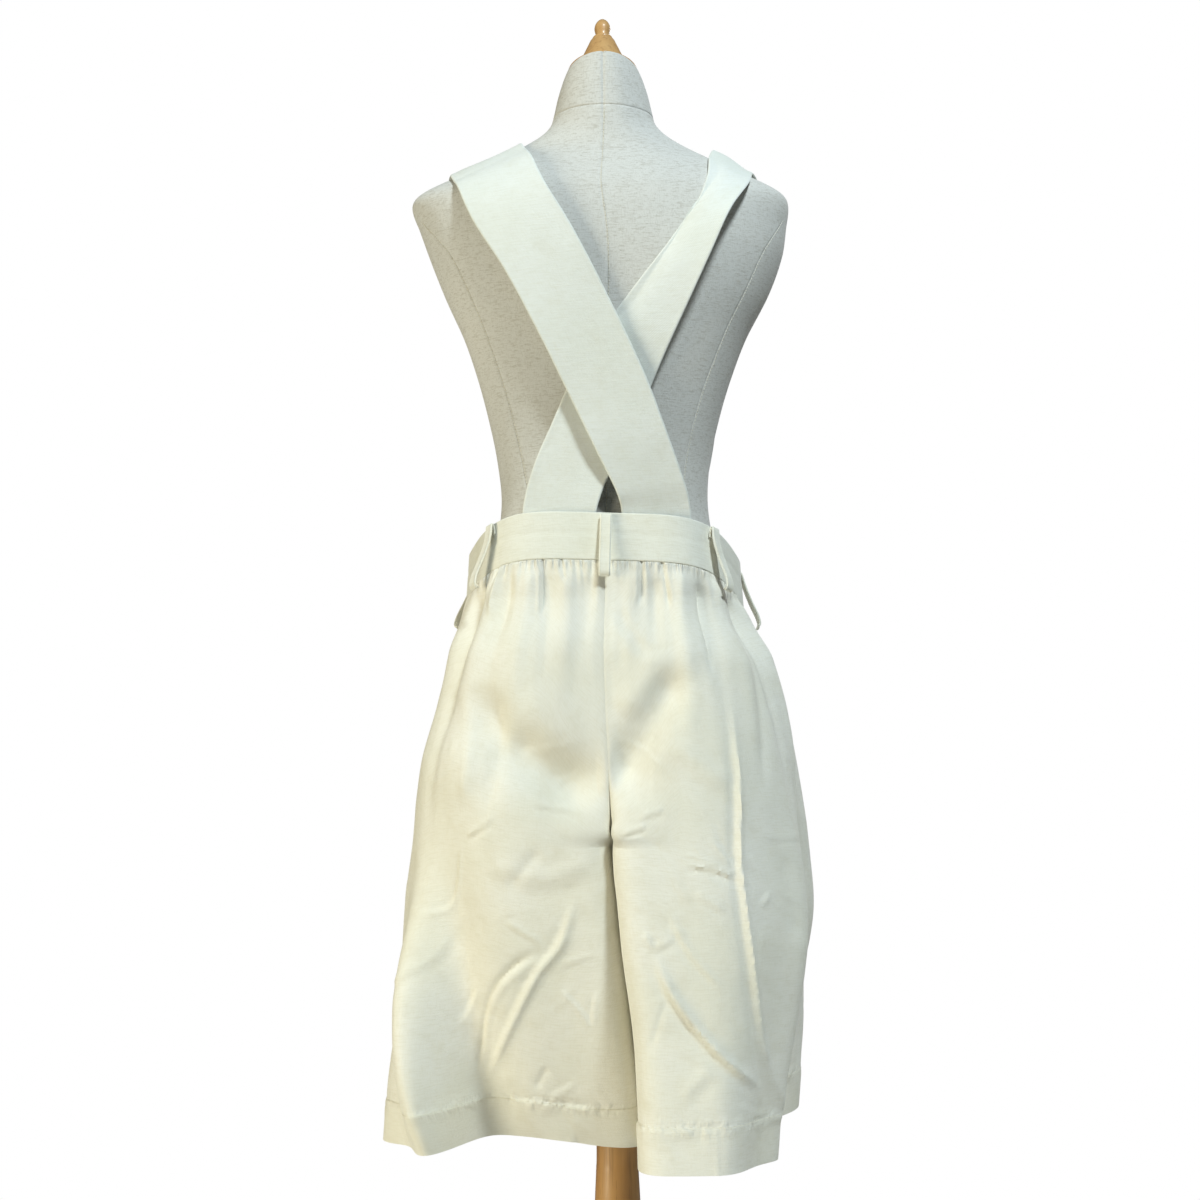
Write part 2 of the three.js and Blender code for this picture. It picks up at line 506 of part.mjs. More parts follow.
// ---------- the straps ----------
// Stations of each strap from its end behind the back of the band, over the shoulder, to its end
// behind the front of the band: its middle, its width, the direction across it towards +X, and
// how far its edge nearer the neck rolls back towards the form.
const STRAPS = {
  left: [
    { at: 0, x: 51, y: -82, z: 985, width: 68, acrossX: 1, acrossY: 0.12, acrossZ: 0, roll: 0 },
    { at: 1, x: 50.5, y: -83, z: 1024, width: 68, acrossX: 1, acrossY: 0.1, acrossZ: 0, roll: 0 },
    { at: 2, x: 43.5, y: -87, z: 1052, width: 66, acrossX: 1, acrossY: 0.06, acrossZ: 0, roll: 0 },
    { at: 3, x: 24.5, y: -92, z: 1097, width: 71, acrossX: 1, acrossY: 0, acrossZ: 0, roll: 0 },
    { at: 4, x: 5, y: -97, z: 1142, width: 75, acrossX: 1, acrossY: 0, acrossZ: 0, roll: 0 },
    { at: 5, x: -27.5, y: -105, z: 1210, width: 76, acrossX: 1, acrossY: 0, acrossZ: 0, roll: 0 },
    { at: 6, x: -60.5, y: -107, z: 1274, width: 77, acrossX: 1, acrossY: -0.1, acrossZ: 0, roll: 0 },
    { at: 7, x: -90, y: -96, z: 1324, width: 79, acrossX: 1, acrossY: -0.2, acrossZ: 0.1, roll: 0 },
    { at: 8, x: -105, y: -72, z: 1360, width: 79, acrossX: 1, acrossY: -0.15, acrossZ: 0.3, roll: 0 },
    { at: 9, x: -112, y: -40, z: 1375, width: 79, acrossX: 1, acrossY: 0, acrossZ: 0.48, roll: 0 },
    { at: 10, x: -113, y: -6, z: 1380, width: 79, acrossX: 1, acrossY: 0, acrossZ: 0.52, roll: 0 },
    { at: 11, x: -113, y: 28, z: 1366, width: 79, acrossX: 1, acrossY: 0, acrossZ: 0.45, roll: 0 },
    { at: 12, x: -108, y: 62, z: 1335, width: 78, acrossX: 1, acrossY: 0.15, acrossZ: 0.2, roll: 0 },
    { at: 13, x: -100, y: 92, z: 1290, width: 78, acrossX: 1, acrossY: 0.3, acrossZ: 0.1, roll: 0 },
    { at: 14, x: -92, y: 115, z: 1235, width: 77, acrossX: 1, acrossY: 0.25, acrossZ: 0, roll: 0 },
    { at: 15, x: -86, y: 122, z: 1190, width: 76, acrossX: 1, acrossY: 0.2, acrossZ: 0, roll: 0 },
    { at: 16, x: -78, y: 114, z: 1110, width: 73, acrossX: 1, acrossY: 0.15, acrossZ: 0, roll: 0 },
    { at: 17, x: -63, y: 97, z: 1025, width: 70, acrossX: 1, acrossY: 0.15, acrossZ: 0, roll: 0 },
    { at: 18, x: -54, y: 79.5, z: 958, width: 66, acrossX: 1, acrossY: 0.26, acrossZ: 0, roll: 0 },
    { at: 19, x: -53, y: 79, z: 918, width: 66, acrossX: 1, acrossY: 0.26, acrossZ: 0, roll: 0 },
  ],
  right: [
    { at: 0, x: -45, y: -82, z: 985, width: 72, acrossX: 1, acrossY: -0.1, acrossZ: 0, roll: 0 },
    { at: 1, x: -44, y: -83, z: 1024, width: 72, acrossX: 1, acrossY: -0.08, acrossZ: 0, roll: 0 },
    { at: 2, x: -34, y: -84.5, z: 1060, width: 71.5, acrossX: 1, acrossY: -0.04, acrossZ: 0, roll: 0 },
    { at: 3, x: -16, y: -86.5, z: 1098, width: 73, acrossX: 1, acrossY: 0, acrossZ: 0, roll: 0 },
    { at: 4, x: 3.5, y: -90.5, z: 1139, width: 74.5, acrossX: 1, acrossY: 0, acrossZ: 0, roll: 0 },
    { at: 5, x: 23, y: -95.5, z: 1176, width: 68, acrossX: 1, acrossY: 0, acrossZ: 0, roll: 0.1 },
    { at: 6, x: 44, y: -99.5, z: 1211, width: 59, acrossX: 1, acrossY: -0.04, acrossZ: 0, roll: 0.3 },
    { at: 7, x: 79.5, y: -103, z: 1271, width: 47.5, acrossX: 1, acrossY: -0.2, acrossZ: 0, roll: 0.5 },
    { at: 8, x: 104, y: -96, z: 1316, width: 42, acrossX: 1, acrossY: -0.26, acrossZ: 0, roll: 0.6 },
    { at: 9, x: 123, y: -70, z: 1352, width: 44, acrossX: 1, acrossY: -0.2, acrossZ: -0.35, roll: 0.5 },
    { at: 10, x: 129, y: -38, z: 1375, width: 47, acrossX: 1, acrossY: -0.1, acrossZ: -0.65, roll: 0.4 },
    { at: 11, x: 134, y: -8, z: 1384, width: 50, acrossX: 1, acrossY: 0, acrossZ: -0.8, roll: 0.3 },
    { at: 12, x: 133, y: 26, z: 1370, width: 58, acrossX: 1, acrossY: 0, acrossZ: -0.6, roll: 0.2 },
    { at: 13, x: 125, y: 60, z: 1334, width: 68, acrossX: 1, acrossY: -0.3, acrossZ: -0.3, roll: 0.1 },
    { at: 14, x: 112, y: 90, z: 1290, width: 74, acrossX: 1, acrossY: -0.4, acrossZ: 0, roll: 0 },
    { at: 15, x: 99, y: 115, z: 1235, width: 76, acrossX: 1, acrossY: -0.25, acrossZ: 0, roll: 0 },
    { at: 16, x: 91, y: 122, z: 1190, width: 75, acrossX: 1, acrossY: -0.2, acrossZ: 0, roll: 0 },
    { at: 17, x: 80, y: 114, z: 1110, width: 73, acrossX: 1, acrossY: -0.15, acrossZ: 0, roll: 0 },
    { at: 18, x: 63, y: 97, z: 1025, width: 70, acrossX: 1, acrossY: -0.15, acrossZ: 0, roll: 0 },
    { at: 19, x: 54, y: 80.5, z: 958, width: 66, acrossX: 1, acrossY: -0.26, acrossZ: 0, roll: 0 },
    { at: 20, x: 53, y: 80, z: 918, width: 66, acrossX: 1, acrossY: -0.26, acrossZ: 0, roll: 0 },
  ],
};
const STRAP_STEPS = 46;
const STRAP_COLUMNS = 5;
const STRAP_CLEARANCE = { side: 1.6, shoulder: 3.2 };   // from the form to the middle of the wall
const SHOULDER_Z = 1345;

function strapMiddle(side) {
  const rows = STRAPS[side];
  const neckEdge = side === 'left' ? 1 : -1;
  const value = (name, at) => column(rows, 'at', name, at);
  const middle = (at) => new THREE.Vector3(value('x', at), value('y', at), value('z', at));
  const last = rows.length - 1;
  return Array.from({ length: STRAP_STEPS + 1 }, (_, j) => {
    const at = (j / STRAP_STEPS) * last;
    const along = middle(Math.min(at + 0.1, last)).sub(middle(Math.max(at - 0.1, 0))).normalize();
    const across = new THREE.Vector3(value('acrossX', at), value('acrossY', at), value('acrossZ', at));
    across.addScaledVector(along, -across.dot(along)).normalize();
    const out = new THREE.Vector3().crossVectors(across, along).normalize();
    const centre = middle(at);
    const half = value('width', at) / 2;
    const roll = Math.max(value('roll', at), 0.001);
    return Array.from({ length: STRAP_COLUMNS + 1 }, (__, i) => {
      const share = (i / STRAP_COLUMNS) * 2 - 1;
      const point = centre.clone();
      if (share * neckEdge > 0) {
        const bend = roll * Math.abs(share);
        point.addScaledVector(across, (neckEdge * half * Math.sin(bend)) / roll);
        point.addScaledVector(out, (-half * (1 - Math.cos(bend))) / roll);
      } else {
        point.addScaledVector(across, half * share);
      }
      const { side: low, shoulder: high } = STRAP_CLEARANCE;
      return clearOfForm(point, lerp(low, high, smooth((point.z - SHOULDER_Z) / 25)));
    });
  });
}

function strap(side) {
  const middle = strapMiddle(side);
  const outward = (point) => formGap(point).out;
  const outer = insetGrid(middle, -STRAP_CLOTH / 2, outward);
  return wallFromGrids(outer, insetGrid(middle, STRAP_CLOTH / 2, outward));
}

// ---------- belt loops and button ----------
// A frame on the band at a turn round the waist: origin on the foot of its outer face, with the
// direction along the band, straight out of it and up its face.
function bandFrame(turn) {
  const footAt = (angle) => {
    const foot = ovalPoint(BAND_FOOT, angle);
    return new THREE.Vector3(...foot, bandFootZ(...foot));
  };
  const top = ovalPoint(BAND_TOP, turn);
  const origin = footAt(turn);
  const up = new THREE.Vector3(...top, bandTopZ(...top)).sub(origin).normalize();
  const along = footAt(turn + 0.02).sub(footAt(turn - 0.02)).normalize();
  const out = new THREE.Vector3().crossVectors(along, up).normalize();
  if (out.dot(awayFromAxis(origin)) < 0) out.negate();
  up.crossVectors(out, along).normalize();
  if (up.z < 0) up.negate();
  return { origin, along, out, up };
}

// Side view of a belt loop: distance out of the band's face, and height above its foot.
const LOOP_PATH = [
  { out: 1.4, up: 34 }, { out: 1.9, up: 40.5 }, { out: 3, up: 44 }, { out: 4.8, up: 42.5 },
  { out: 6.2, up: 34 }, { out: 8, up: 22 }, { out: 10, up: 8 }, { out: LOOP_BOW, up: -4 },
  { out: LOOP_BOW + 0.3, up: -12 }, { out: LOOP_BOW - 1.1, up: -15.8 }, { out: LOOP_BOW - 3.3, up: -16.8 },
];
// Where each loop sits round the band, and how much further out the cloth pushes its lower end.
const LOOPS = {
  loop_back: { turn: -90, flare: 0 },
  loop_back_left: { turn: -127, flare: 5 },
  loop_back_right: { turn: -58, flare: 5 },
  loop_side_left: { turn: 164, flare: 4.5 },
  loop_side_right: { turn: 6, flare: 4 },
};

function beltLoop({ turn, flare }) {
  const { origin, along, out, up } = bandFrame(THREE.MathUtils.degToRad(turn));
  const pushed = LOOP_PATH.map((p) => new THREE.Vector3(p.out + flare * smooth((30 - p.up) / 50), p.up, 0));
  const centre = new THREE.CatmullRomCurve3(pushed, false, 'centripetal').getPoints(13);
  const place = (point, shift, side) => origin.clone().addScaledVector(out, point.x + shift.x)
    .addScaledVector(up, point.y + shift.y).addScaledVector(along, (side * LOOP_WIDTH) / 2);
  const rows = (offset) => centre.map((point, j) => {
    const before = centre[Math.max(j - 1, 0)];
    const after = centre[Math.min(j + 1, centre.length - 1)];
    const tangent = after.clone().sub(before).normalize();
    const shift = new THREE.Vector3(-tangent.y, tangent.x, 0).multiplyScalar(offset);
    return [-1, 1].map((side) => place(point, shift, side));
  });
  return wallFromGrids(rows(LOOP_CLOTH / 2), rows(-LOOP_CLOTH / 2));
}

const BUTTON_RADIUS = 9;
const BUTTON_DEPTH = 3.2;

// ---------- assembly ----------
const FINISHES = {
  cloth: { color: 0xe3e1d0, roughness: 0.9 },
  strap: { color: 0xdde3d9, roughness: 0.85 },
  band: { color: 0xdfe0d4, roughness: 0.88 },
  linen: { color: 0xb9bfbb, roughness: 0.95 },
  wood: { color: 0xb98a52, roughness: 0.5 },
  button: { color: 0xe8e4d2, roughness: 0.4 },
};
const part = new THREE.Group();
const worn = new THREE.Group();
worn.position.x = WORN_X;
part.add(worn);

function add(name, geometry, finish, parent = worn) {
  const material = new THREE.MeshStandardMaterial({ ...FINISHES[finish], metalness: 0 });
  const mesh = new THREE.Mesh(geometry, material);
  mesh.name = name;
  parent.add(mesh);
  return mesh;
}

['left', 'right'].forEach((side) => {
  add(`back_${side}`, panel(side, 'back'), 'cloth');
  add(`front_${side}`, panel(side, 'front'), 'cloth');
  add(`strap_${side}`, strap(side), 'strap');
});

const lapTurn = Math.acos((BAND_LAP_X / BAND_TOP.side) ** (BAND_SQUARE.front.across / 2));
const turnGap = SEAM_GAP / 200;
add('band_back', bandPiece(-turnGap, -Math.PI + turnGap, 36), 'band');
add('band_front_right', bandPiece(turnGap, lapTurn - turnGap, 16), 'band');
add('band_front_left', bandPiece(lapTurn + turnGap, Math.PI - turnGap, 20), 'band');

Object.entries(LOOPS).forEach(([name, place]) => add(name, beltLoop(place), 'cloth'));

const buttonSeat = bandFrame(Math.PI / 2);
const buttonProfile = [[0, 0], [BUTTON_RADIUS - 0.6, 0], [BUTTON_RADIUS, 0.8],
  [BUTTON_RADIUS, BUTTON_DEPTH - 0.8], [BUTTON_RADIUS - 1, BUTTON_DEPTH],
  [BUTTON_RADIUS - 3, BUTTON_DEPTH - 0.6], [0, BUTTON_DEPTH - 0.6]];
const button = add('band_button', turned(buttonProfile, 16), 'button');
button.quaternion.setFromUnitVectors(new THREE.Vector3(0, 0, 1), buttonSeat.out);
button.position.copy(buttonSeat.origin).addScaledVector(buttonSeat.up, BAND_HEIGHT / 2)
  .addScaledVector(buttonSeat.out, SEAM_GAP * 2);

add('form_torso', formTorso(), 'linen');
const neckTop = new THREE.Group();
neckTop.rotation.x = -NECK_TILT;
neckTop.position.set(NECK_X, NECK_CENTRE_Y, NECK_TOP_Z + SEAM_GAP);
worn.add(neckTop);
add('neck_cap', neckCap(), 'wood', neckTop);
add('finial', finial(), 'wood', neckTop).position.z = CAP_HEIGHT + SEAM_GAP;

const poleFoot = BASE_HEIGHT + SEAM_GAP;
const poleTop = FORM_ROWS[0].z - SEAM_GAP - poleFoot;
add('stand_pole', standPole(poleTop), 'wood', part).position.z = poleFoot;
add('stand_base', standBase(), 'wood', part);

export default part;
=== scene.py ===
"""Wide gathered shorts with a waistband and crossed shoulder straps, worn by a limbless dress form
on a turned wooden stand. Tables are in millimetres, +Z up, with the back of the garment towards -Y
and the wearer's left on -X. Meshes are in metres, in the frame's own place."""

import math

import bpy
import numpy as np
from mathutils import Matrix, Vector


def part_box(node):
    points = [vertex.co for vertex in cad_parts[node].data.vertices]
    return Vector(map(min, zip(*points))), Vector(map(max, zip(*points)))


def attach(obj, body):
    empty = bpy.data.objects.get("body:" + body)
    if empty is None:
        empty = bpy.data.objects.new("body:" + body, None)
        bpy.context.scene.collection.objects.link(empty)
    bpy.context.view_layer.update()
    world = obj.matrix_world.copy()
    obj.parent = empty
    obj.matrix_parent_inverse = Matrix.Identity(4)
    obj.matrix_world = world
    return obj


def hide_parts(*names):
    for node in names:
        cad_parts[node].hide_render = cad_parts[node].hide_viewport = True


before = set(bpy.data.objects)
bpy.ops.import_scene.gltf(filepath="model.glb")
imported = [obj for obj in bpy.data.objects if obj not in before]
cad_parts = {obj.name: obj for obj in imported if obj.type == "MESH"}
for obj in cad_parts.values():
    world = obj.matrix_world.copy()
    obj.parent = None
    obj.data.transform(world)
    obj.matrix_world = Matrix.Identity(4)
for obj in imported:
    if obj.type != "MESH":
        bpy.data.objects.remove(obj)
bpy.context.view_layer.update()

MM = 0.001


# ---------- places taken from the frame, in millimetres ----------
def node_box(name):
    low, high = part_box(name)
    return np.array(low) / MM, np.array(high) / MM


band_low, band_high = node_box("band_back")
form_low = node_box("form_torso")[0]
base_low, base_high = node_box("stand_base")
pole_low = node_box("stand_pole")[0]

GARMENT_X = (band_low[0] + band_high[0]) / 2    # the garment's middle, beside the stand's axis
HEM_Z = node_box("back_right")[0][2]

BAND_HEIGHT = 48.5
BAND_TILT = 0.374                               # rise of the band towards the back
BAND_LEAN = 0.035                               # rise of the band towards the wearer's left
BAND_TOP = {"side": 137.5, "back": 93.5, "front": 97}
BAND_FOOT = {"side": (band_high[0] - band_low[0]) / 2, "back": 98, "front": 100}
BAND_SIDE_Z = band_low[2] + BAND_HEIGHT + BAND_LEAN * BAND_FOOT["side"]
# Squareness of the band seen from above: flat with two corners at the back, oval at the front.
BAND_SQUARE = {"back": (5, 1), "front": (2.12, 2.12)}
BAND_WALL = 2.8
BAND_LINE = 21                                  # the sewn line along the band, below its top
BAND_LAP_X = 15                                 # where one front of the band laps over the other

SEAM_GAP = 0.3                                  # between pieces that only touch
SEWN_GAP = 0.06                                 # between cloth that is sewn edge to edge
CLOTH_WALL = 1.2
CROTCH_X, CROTCH_Z = 34, 700                    # beside the stand's pole
HEM_TURNING = 43                                # how far the hem is turned up

NECK_X, NECK_CENTRE_Y = 2, -8
NECK_Z, NECK_TOP_Z = 1433, 1474                 # where the neck begins to lean, and its top
NECK_TILT = 0.33

SIGN = {"left": -1, "right": 1}
TURN = {"back": -1, "front": 1}


# ---------- small helpers ----------
def clamp01(t):
    return np.clip(t, 0, 1)


def lerp(a, b, t):
    return a + (b - a) * t


def smooth(t):
    t = clamp01(t)
    return t * t * (3 - 2 * t)


def bell(distance, half_width):
    return np.exp(-(distance / half_width) ** 2)


def signed_power(value, power):
    return np.sign(value) * np.abs(value) ** power


def unit(vectors):
    return vectors / np.maximum(np.linalg.norm(vectors, axis=-1, keepdims=True), 1e-9)


def rolled_edge(edge, radius):
    """How full a strip of cloth is at a distance from its edge: 0 at a rolled edge, 1 inside."""
    return np.sqrt(clamp01(1 - (np.maximum(radius - edge, 0) / radius) ** 2))


def joined(*axes):
    """Points from their places along each axis, which may be given once for many points."""
    return np.stack(np.broadcast_arrays(*axes), axis=-1)


def table(names, rows):
    """A table with named columns."""
    return dict(zip(names.split(), np.array(rows, float).T))


def column(rows, name, at, key="z"):
    """Values of one column, on a smooth curve through the rows of a table."""
    x, y = rows[key], rows[name]
    if x[-1] < x[0]:
        x, y = x[::-1], y[::-1]
    last = len(x) - 1
    before = np.maximum(np.arange(last + 1) - 1, 0)
    after = np.minimum(np.arange(last + 1) + 1, last)
    slope = (y[after] - y[before]) / (x[after] - x[before])
    at = np.clip(at, x[0], x[-1])
    i = np.clip(np.searchsorted(x, at, side="right") - 1, 0, last - 1)
    span = x[i + 1] - x[i]
    t = (at - x[i]) / span
    square, cube = t * t, t * t * t
    return ((2 * cube - 3 * square + 1) * y[i] + (cube - 2 * square + t) * span * slope[i]
            + (3 * square - 2 * cube) * y[i + 1] + (cube - square) * span * slope[i + 1])


def smooth_path(points, steps=8):
    """A smooth line through a few points, with that many steps between two of them."""
    points = np.array(points, float)
    if len(points) < 3:
        return lerp(points[0], points[-1], np.linspace(0, 1, steps * 2 + 1)[:, None])
    padded = np.vstack([2 * points[0] - points[1], points, 2 * points[-1] - points[-2]])
    t = np.linspace(0, 1, steps, endpoint=False)[:, None]
    runs = []
    for a, b, c, d in zip(padded[:-3], padded[1:-2], padded[2:-1], padded[3:]):
        runs.append(0.5 * (2 * b + (c - a) * t + (2 * a - 5 * b + 4 * c - d) * t ** 2
                           + (3 * b - a - 3 * c + d) * t ** 3))
    return np.vstack(runs + [points[-1:]])


def lengths_along(line):
    return np.concatenate([[0], np.cumsum(np.linalg.norm(np.diff(line, axis=0), axis=1))])


def value_noise(rng, x, y, cell):
    """Soft random heights from -1 to 1, one hill or hollow to a cell."""
    x, y = (x - x.min()) / cell, (y - y.min()) / cell
    lattice = rng.uniform(-1, 1, (int(x.max()) + 2, int(y.max()) + 2))
    i, j = x.astype(int), y.astype(int)
    s, t = smooth(x - i), smooth(y - j)
    return lerp(lerp(lattice[i, j], lattice[i + 1, j], s),
                lerp(lattice[i, j + 1], lattice[i + 1, j + 1], s), t)


def linked(obj):
    """Puts a new object into the scene."""
    bpy.context.scene.collection.objects.link(obj)
    return obj


# ---------- camera ----------
def make_camera():
    data = bpy.data.cameras.new("camera")
    data.sensor_width = 36
    data.lens = 59.04
    data.shift_x = -0.0051
    data.shift_y = 0.1167
    camera = linked(bpy.data.objects.new("camera", data))
    camera.location = (GARMENT_X * MM, -2.0, 0.802)
    camera.rotation_euler = (math.pi / 2, 0.0079, 0)
    bpy.context.scene.camera = camera


make_camera()


# ---------- finishes ----------
def tone(red, green, blue):
    """A colour given in everyday 0 to 255 steps, as the shader wants it."""
    def linear(step):
        share = step / 255
        return share / 12.92 if share <= 0.04045 else ((share + 0.055) / 1.055) ** 2.4
    return (linear(red), linear(green), linear(blue), 1)


def add_node(tree, kind, settings=None, inputs=None):
    """A node with its settings, its inputs linked to sockets or set to plain values."""
    node = tree.nodes.new(kind)
    for name, value in (settings or {}).items():
        setattr(node, name, value)
    for name, value in (inputs or {}).items():
        if isinstance(value, Wire):
            value = value.socket
        if isinstance(value, bpy.types.NodeSocket):
            tree.links.new(value, node.inputs[name])
        else:
            node.inputs[name].default_value = value
    return node


class Wire:
    """A number that comes out of a shader node and takes part in sums."""

    def __init__(self, finish, socket):
        self.finish, self.socket = finish, socket

    def math(self, operation, first, second=0.0):
        node = self.finish.node("ShaderNodeMath", {"operation": operation}, {0: first, 1: second})
        return Wire(self.finish, node.outputs[0])

    def __add__(self, other):
        return self.math("ADD", self, other)

    def __sub__(self, other):
        return self.math("SUBTRACT", self, other)

    def __mul__(self, other):
        return self.math("MULTIPLY", self, other)

    def step(self, low, high):
        """0 below low, 1 above high and a soft step between them."""
        node = self.finish.node("ShaderNodeMapRange", {"interpolation_type": "SMOOTHSTEP"},
                                {"Value": self, "From Min": low, "From Max": high})
        return Wire(self.finish, node.outputs[0])

    def band(self, middle, half_width):
        """1 at middle, 0 further than half_width from it."""
        return self.math("ABSOLUTE", self - middle).step(half_width, 0)

    def wave(self):
        return self.math("SINE", self)


class Finish:
    """A node material for one of the real thing's finishes."""

    def __init__(self, name, **uniform):
        self.material = bpy.data.materials.new(name)
        self.material.use_nodes = True
        self.tree = self.material.node_tree
        self.shader = self.tree.nodes["Principled BSDF"]
        for socket, value in uniform.items():
            self.shader.inputs[socket.replace("_", " ")].default_value = value
        self.places = self.node("ShaderNodeTexCoord").outputs["Object"]
        self.cut = self.node("ShaderNodeUVMap", {"uv_map": "cut"}).outputs[0]

    def node(self, kind, settings=None, inputs=None):
        return add_node(self.tree, kind, settings, inputs)

    def axis(self, name, places):
        split = self.node("ShaderNodeSeparateXYZ", inputs={0: places})
        return Wire(self, split.outputs[name])

    def noise(self, scale, detail=2.0, roughness=0.5, squeeze=None, places=None):
        """Soft noise, finer along an axis where squeeze is above 1 and drawn out where it is below."""
        places = places or self.places
        if squeeze:
            places = self.node("ShaderNodeVectorMath", {"operation": "MULTIPLY"},
                               {0: places, 1: squeeze}).outputs[0]
        node = self.node("ShaderNodeTexNoise", None, {
            "Vector": places, "Scale": scale, "Detail": detail, "Roughness": roughness})
        return Wire(self, node.outputs[0])

    def mixed(self, share, first, second):
        """A share of the second colour over the first; each is a socket or a tone."""
        first, second = (tone(*colour) if isinstance(colour, tuple) else colour
                         for colour in (first, second))
        node = self.node("ShaderNodeMix", {"data_type": "RGBA"}, {0: share, 6: first, 7: second})
        return node.outputs[2]

    def flecked(self, colour, flecks):
        """A colour with others over it: each where its pattern runs high, at most by its share."""
        for pattern, low, high, share, fleck in flecks:
            colour = self.mixed(pattern.step(low, high) * share, colour, fleck)
        return colour

    def set(self, name, value):
        socket = value.socket if isinstance(value, Wire) else value
        self.tree.links.new(socket, self.shader.inputs[name])

    def relief(self, height, depth):
        """Bumps of that real depth in metres, where height runs from 0 to 1."""
        bump = self.node("ShaderNodeBump", None, {"Strength": 1.0, "Distance": depth, "Height": height})
        self.set("Normal", bump.outputs[0])


def cotton(name, light, warm, shade, hem=None, gathered=False):
    """Cotton twill: fine diagonal lines, soft clouds of colour and small slubs."""
    cloth = Finish(name, Roughness=0.86, Sheen_Weight=0.12, Sheen_Roughness=0.5, Specular_IOR_Level=0.3)
    along, up = cloth.axis(0, cloth.cut), cloth.axis(1, cloth.cut)
    clouds = cloth.noise(9, 3)
    weft = cloth.noise(620, 3, 0.7, (0.11, 1, 1), cloth.cut)
    warp = cloth.noise(620, 2, 0.7, (1, 0.14, 1), cloth.cut)
    colour = cloth.flecked(cloth.mixed(clouds.step(0.35, 0.7), light, warm), [
        (cloth.noise(38, 3, 0.6), 0.5, 0.78, 0.35, shade), (weft, 0.42, 0.7, 0.34, shade),
        (warp, 0.46, 0.72, 0.2, shade)])
    if hem is not None:
        hem_line = HEM_TURNING * MM
        turning = up.step(hem_line + 0.001, hem_line - 0.001)
        colour = cloth.mixed(turning * 0.12, colour, hem)
        # Painted shade: a thin band of the shade tone darkens the groove along the hem's sewn line.
        colour = cloth.mixed(up.band(hem_line, 0.0012) * 0.6, colour, shade)
    cloth.set("Base Color", colour)
    cloth.set("Roughness", clouds * 0.12 + 0.8)
    twill = ((along + up) * 5200).wave() * 0.5 + 0.5
    threads = cloth.noise(1400, 2, 0.7, (1, 0.35, 1), cloth.cut)
    rumple = cloth.noise(75, 4, 0.55)
    relief = twill * 0.12 + threads * 0.2 + rumple * 0.9 + weft * 0.32 + warp * 0.14
    if hem is not None:
        pulls = cloth.noise(85, 2, 0.5, (1, 0.5, 1), cloth.cut).step(0.36, 0.66)
        relief = relief + pulls * up.band(hem_line, 0.013) * 1.7 + turning * 0.9
    if gathered:
        seam = cloth.node("ShaderNodeUVMap", {"uv_map": "seam"}).outputs[0]
        down = cloth.axis(1, seam)
        puckers = cloth.noise(230, 1, 0.5, (1, 0.16, 1), seam).step(0.38, 0.66)
        relief = relief + puckers * down.step(0.014, 0) * 2.6
        folds = cloth.noise(95, 1, 0.5, (1, 0.1, 1), seam)
        relief = relief + folds * down.step(0.04, 0) * 3.0
    cloth.relief(relief, 0.0007)
    return cloth.material


def linen_cover(name):
    """Heathered linen: level slubs of light and dark thread over a soft ground."""
    linen = Finish(name, Roughness=0.93, Sheen_Weight=0.08, Specular_IOR_Level=0.25)
    weft = linen.noise(330, 3, 0.65, (0.4, 0.4, 2.6))
    warp = linen.noise(330, 3, 0.65, (2.6, 2.6, 0.7))
    flecks = linen.noise(300, 2, 0.7, (1, 1, 2.2))
    clouds = linen.noise(7, 2)
    ground = linen.mixed(clouds.step(0.3, 0.7), (215, 214, 210), (208, 208, 205))
    linen.set("Base Color", linen.flecked(ground, [
        (weft, 0.48, 0.68, 0.5, (172, 167, 156)), (warp, 0.48, 0.7, 0.38, (176, 172, 164)),
        (flecks, 0.62, 0.74, 0.4, (146, 142, 130))]))
    threads = linen.noise(1300, 2, 0.6, (1, 1, 1.6))
    linen.relief(weft * 0.5 + warp * 0.3 + threads * 0.4, 0.0005)
    return linen.material


def varnished_wood(name, early, late, streaks):
    """Turned beech under clear varnish, with its grain along the turning's axis."""
    wood = Finish(name, Roughness=0.42, Coat_Weight=0.35, Coat_Roughness=0.22)
    long_grain = wood.noise(26, 4, 0.6, (1, 1, 0.07))
    fine_grain = wood.noise(240, 3, 0.6, (1, 1, 0.03))
    pores = wood.noise(420, 2, 0.5, (1, 1, 0.06))
    wood.set("Base Color", wood.flecked(wood.mixed(long_grain.step(0.32, 0.68), early, late), [
        (fine_grain, 0.5, 0.8, 0.55, streaks), (pores, 0.62, 0.72, 0.4, streaks)]))
    wood.set("Roughness", fine_grain * 0.2 + 0.32)
    wood.relief(fine_grain * 0.4 + pores * 0.3, 0.0003)
    return wood.material


def thread_finish(name, light, dark):
    thread = Finish(name, Roughness=0.7, Sheen_Weight=0.1)
    thread.set("Base Color", thread.mixed(thread.noise(300, 2).step(0.3, 0.7), light, dark))
    thread.relief(thread.noise(2500, 2), 0.0002)
    return thread.material


def button_finish(name):
    shell = Finish(name, Roughness=0.3, Coat_Weight=0.5, Coat_Roughness=0.15)
    clouds = shell.noise(160, 3, 0.6)
    shell.set("Base Color", shell.mixed(clouds.step(0.3, 0.7), (236, 231, 214), (220, 212, 190)))
    shell.relief(shell.noise(90, 2), 0.0001)
    return shell.material


def floor_finish(name):
    floor = Finish(name, Roughness=0.75, Specular_IOR_Level=0.2)
    floor.set("Base Color", floor.mixed(floor.noise(3, 3), (238, 235, 229), (230, 227, 220)))
    return floor.material


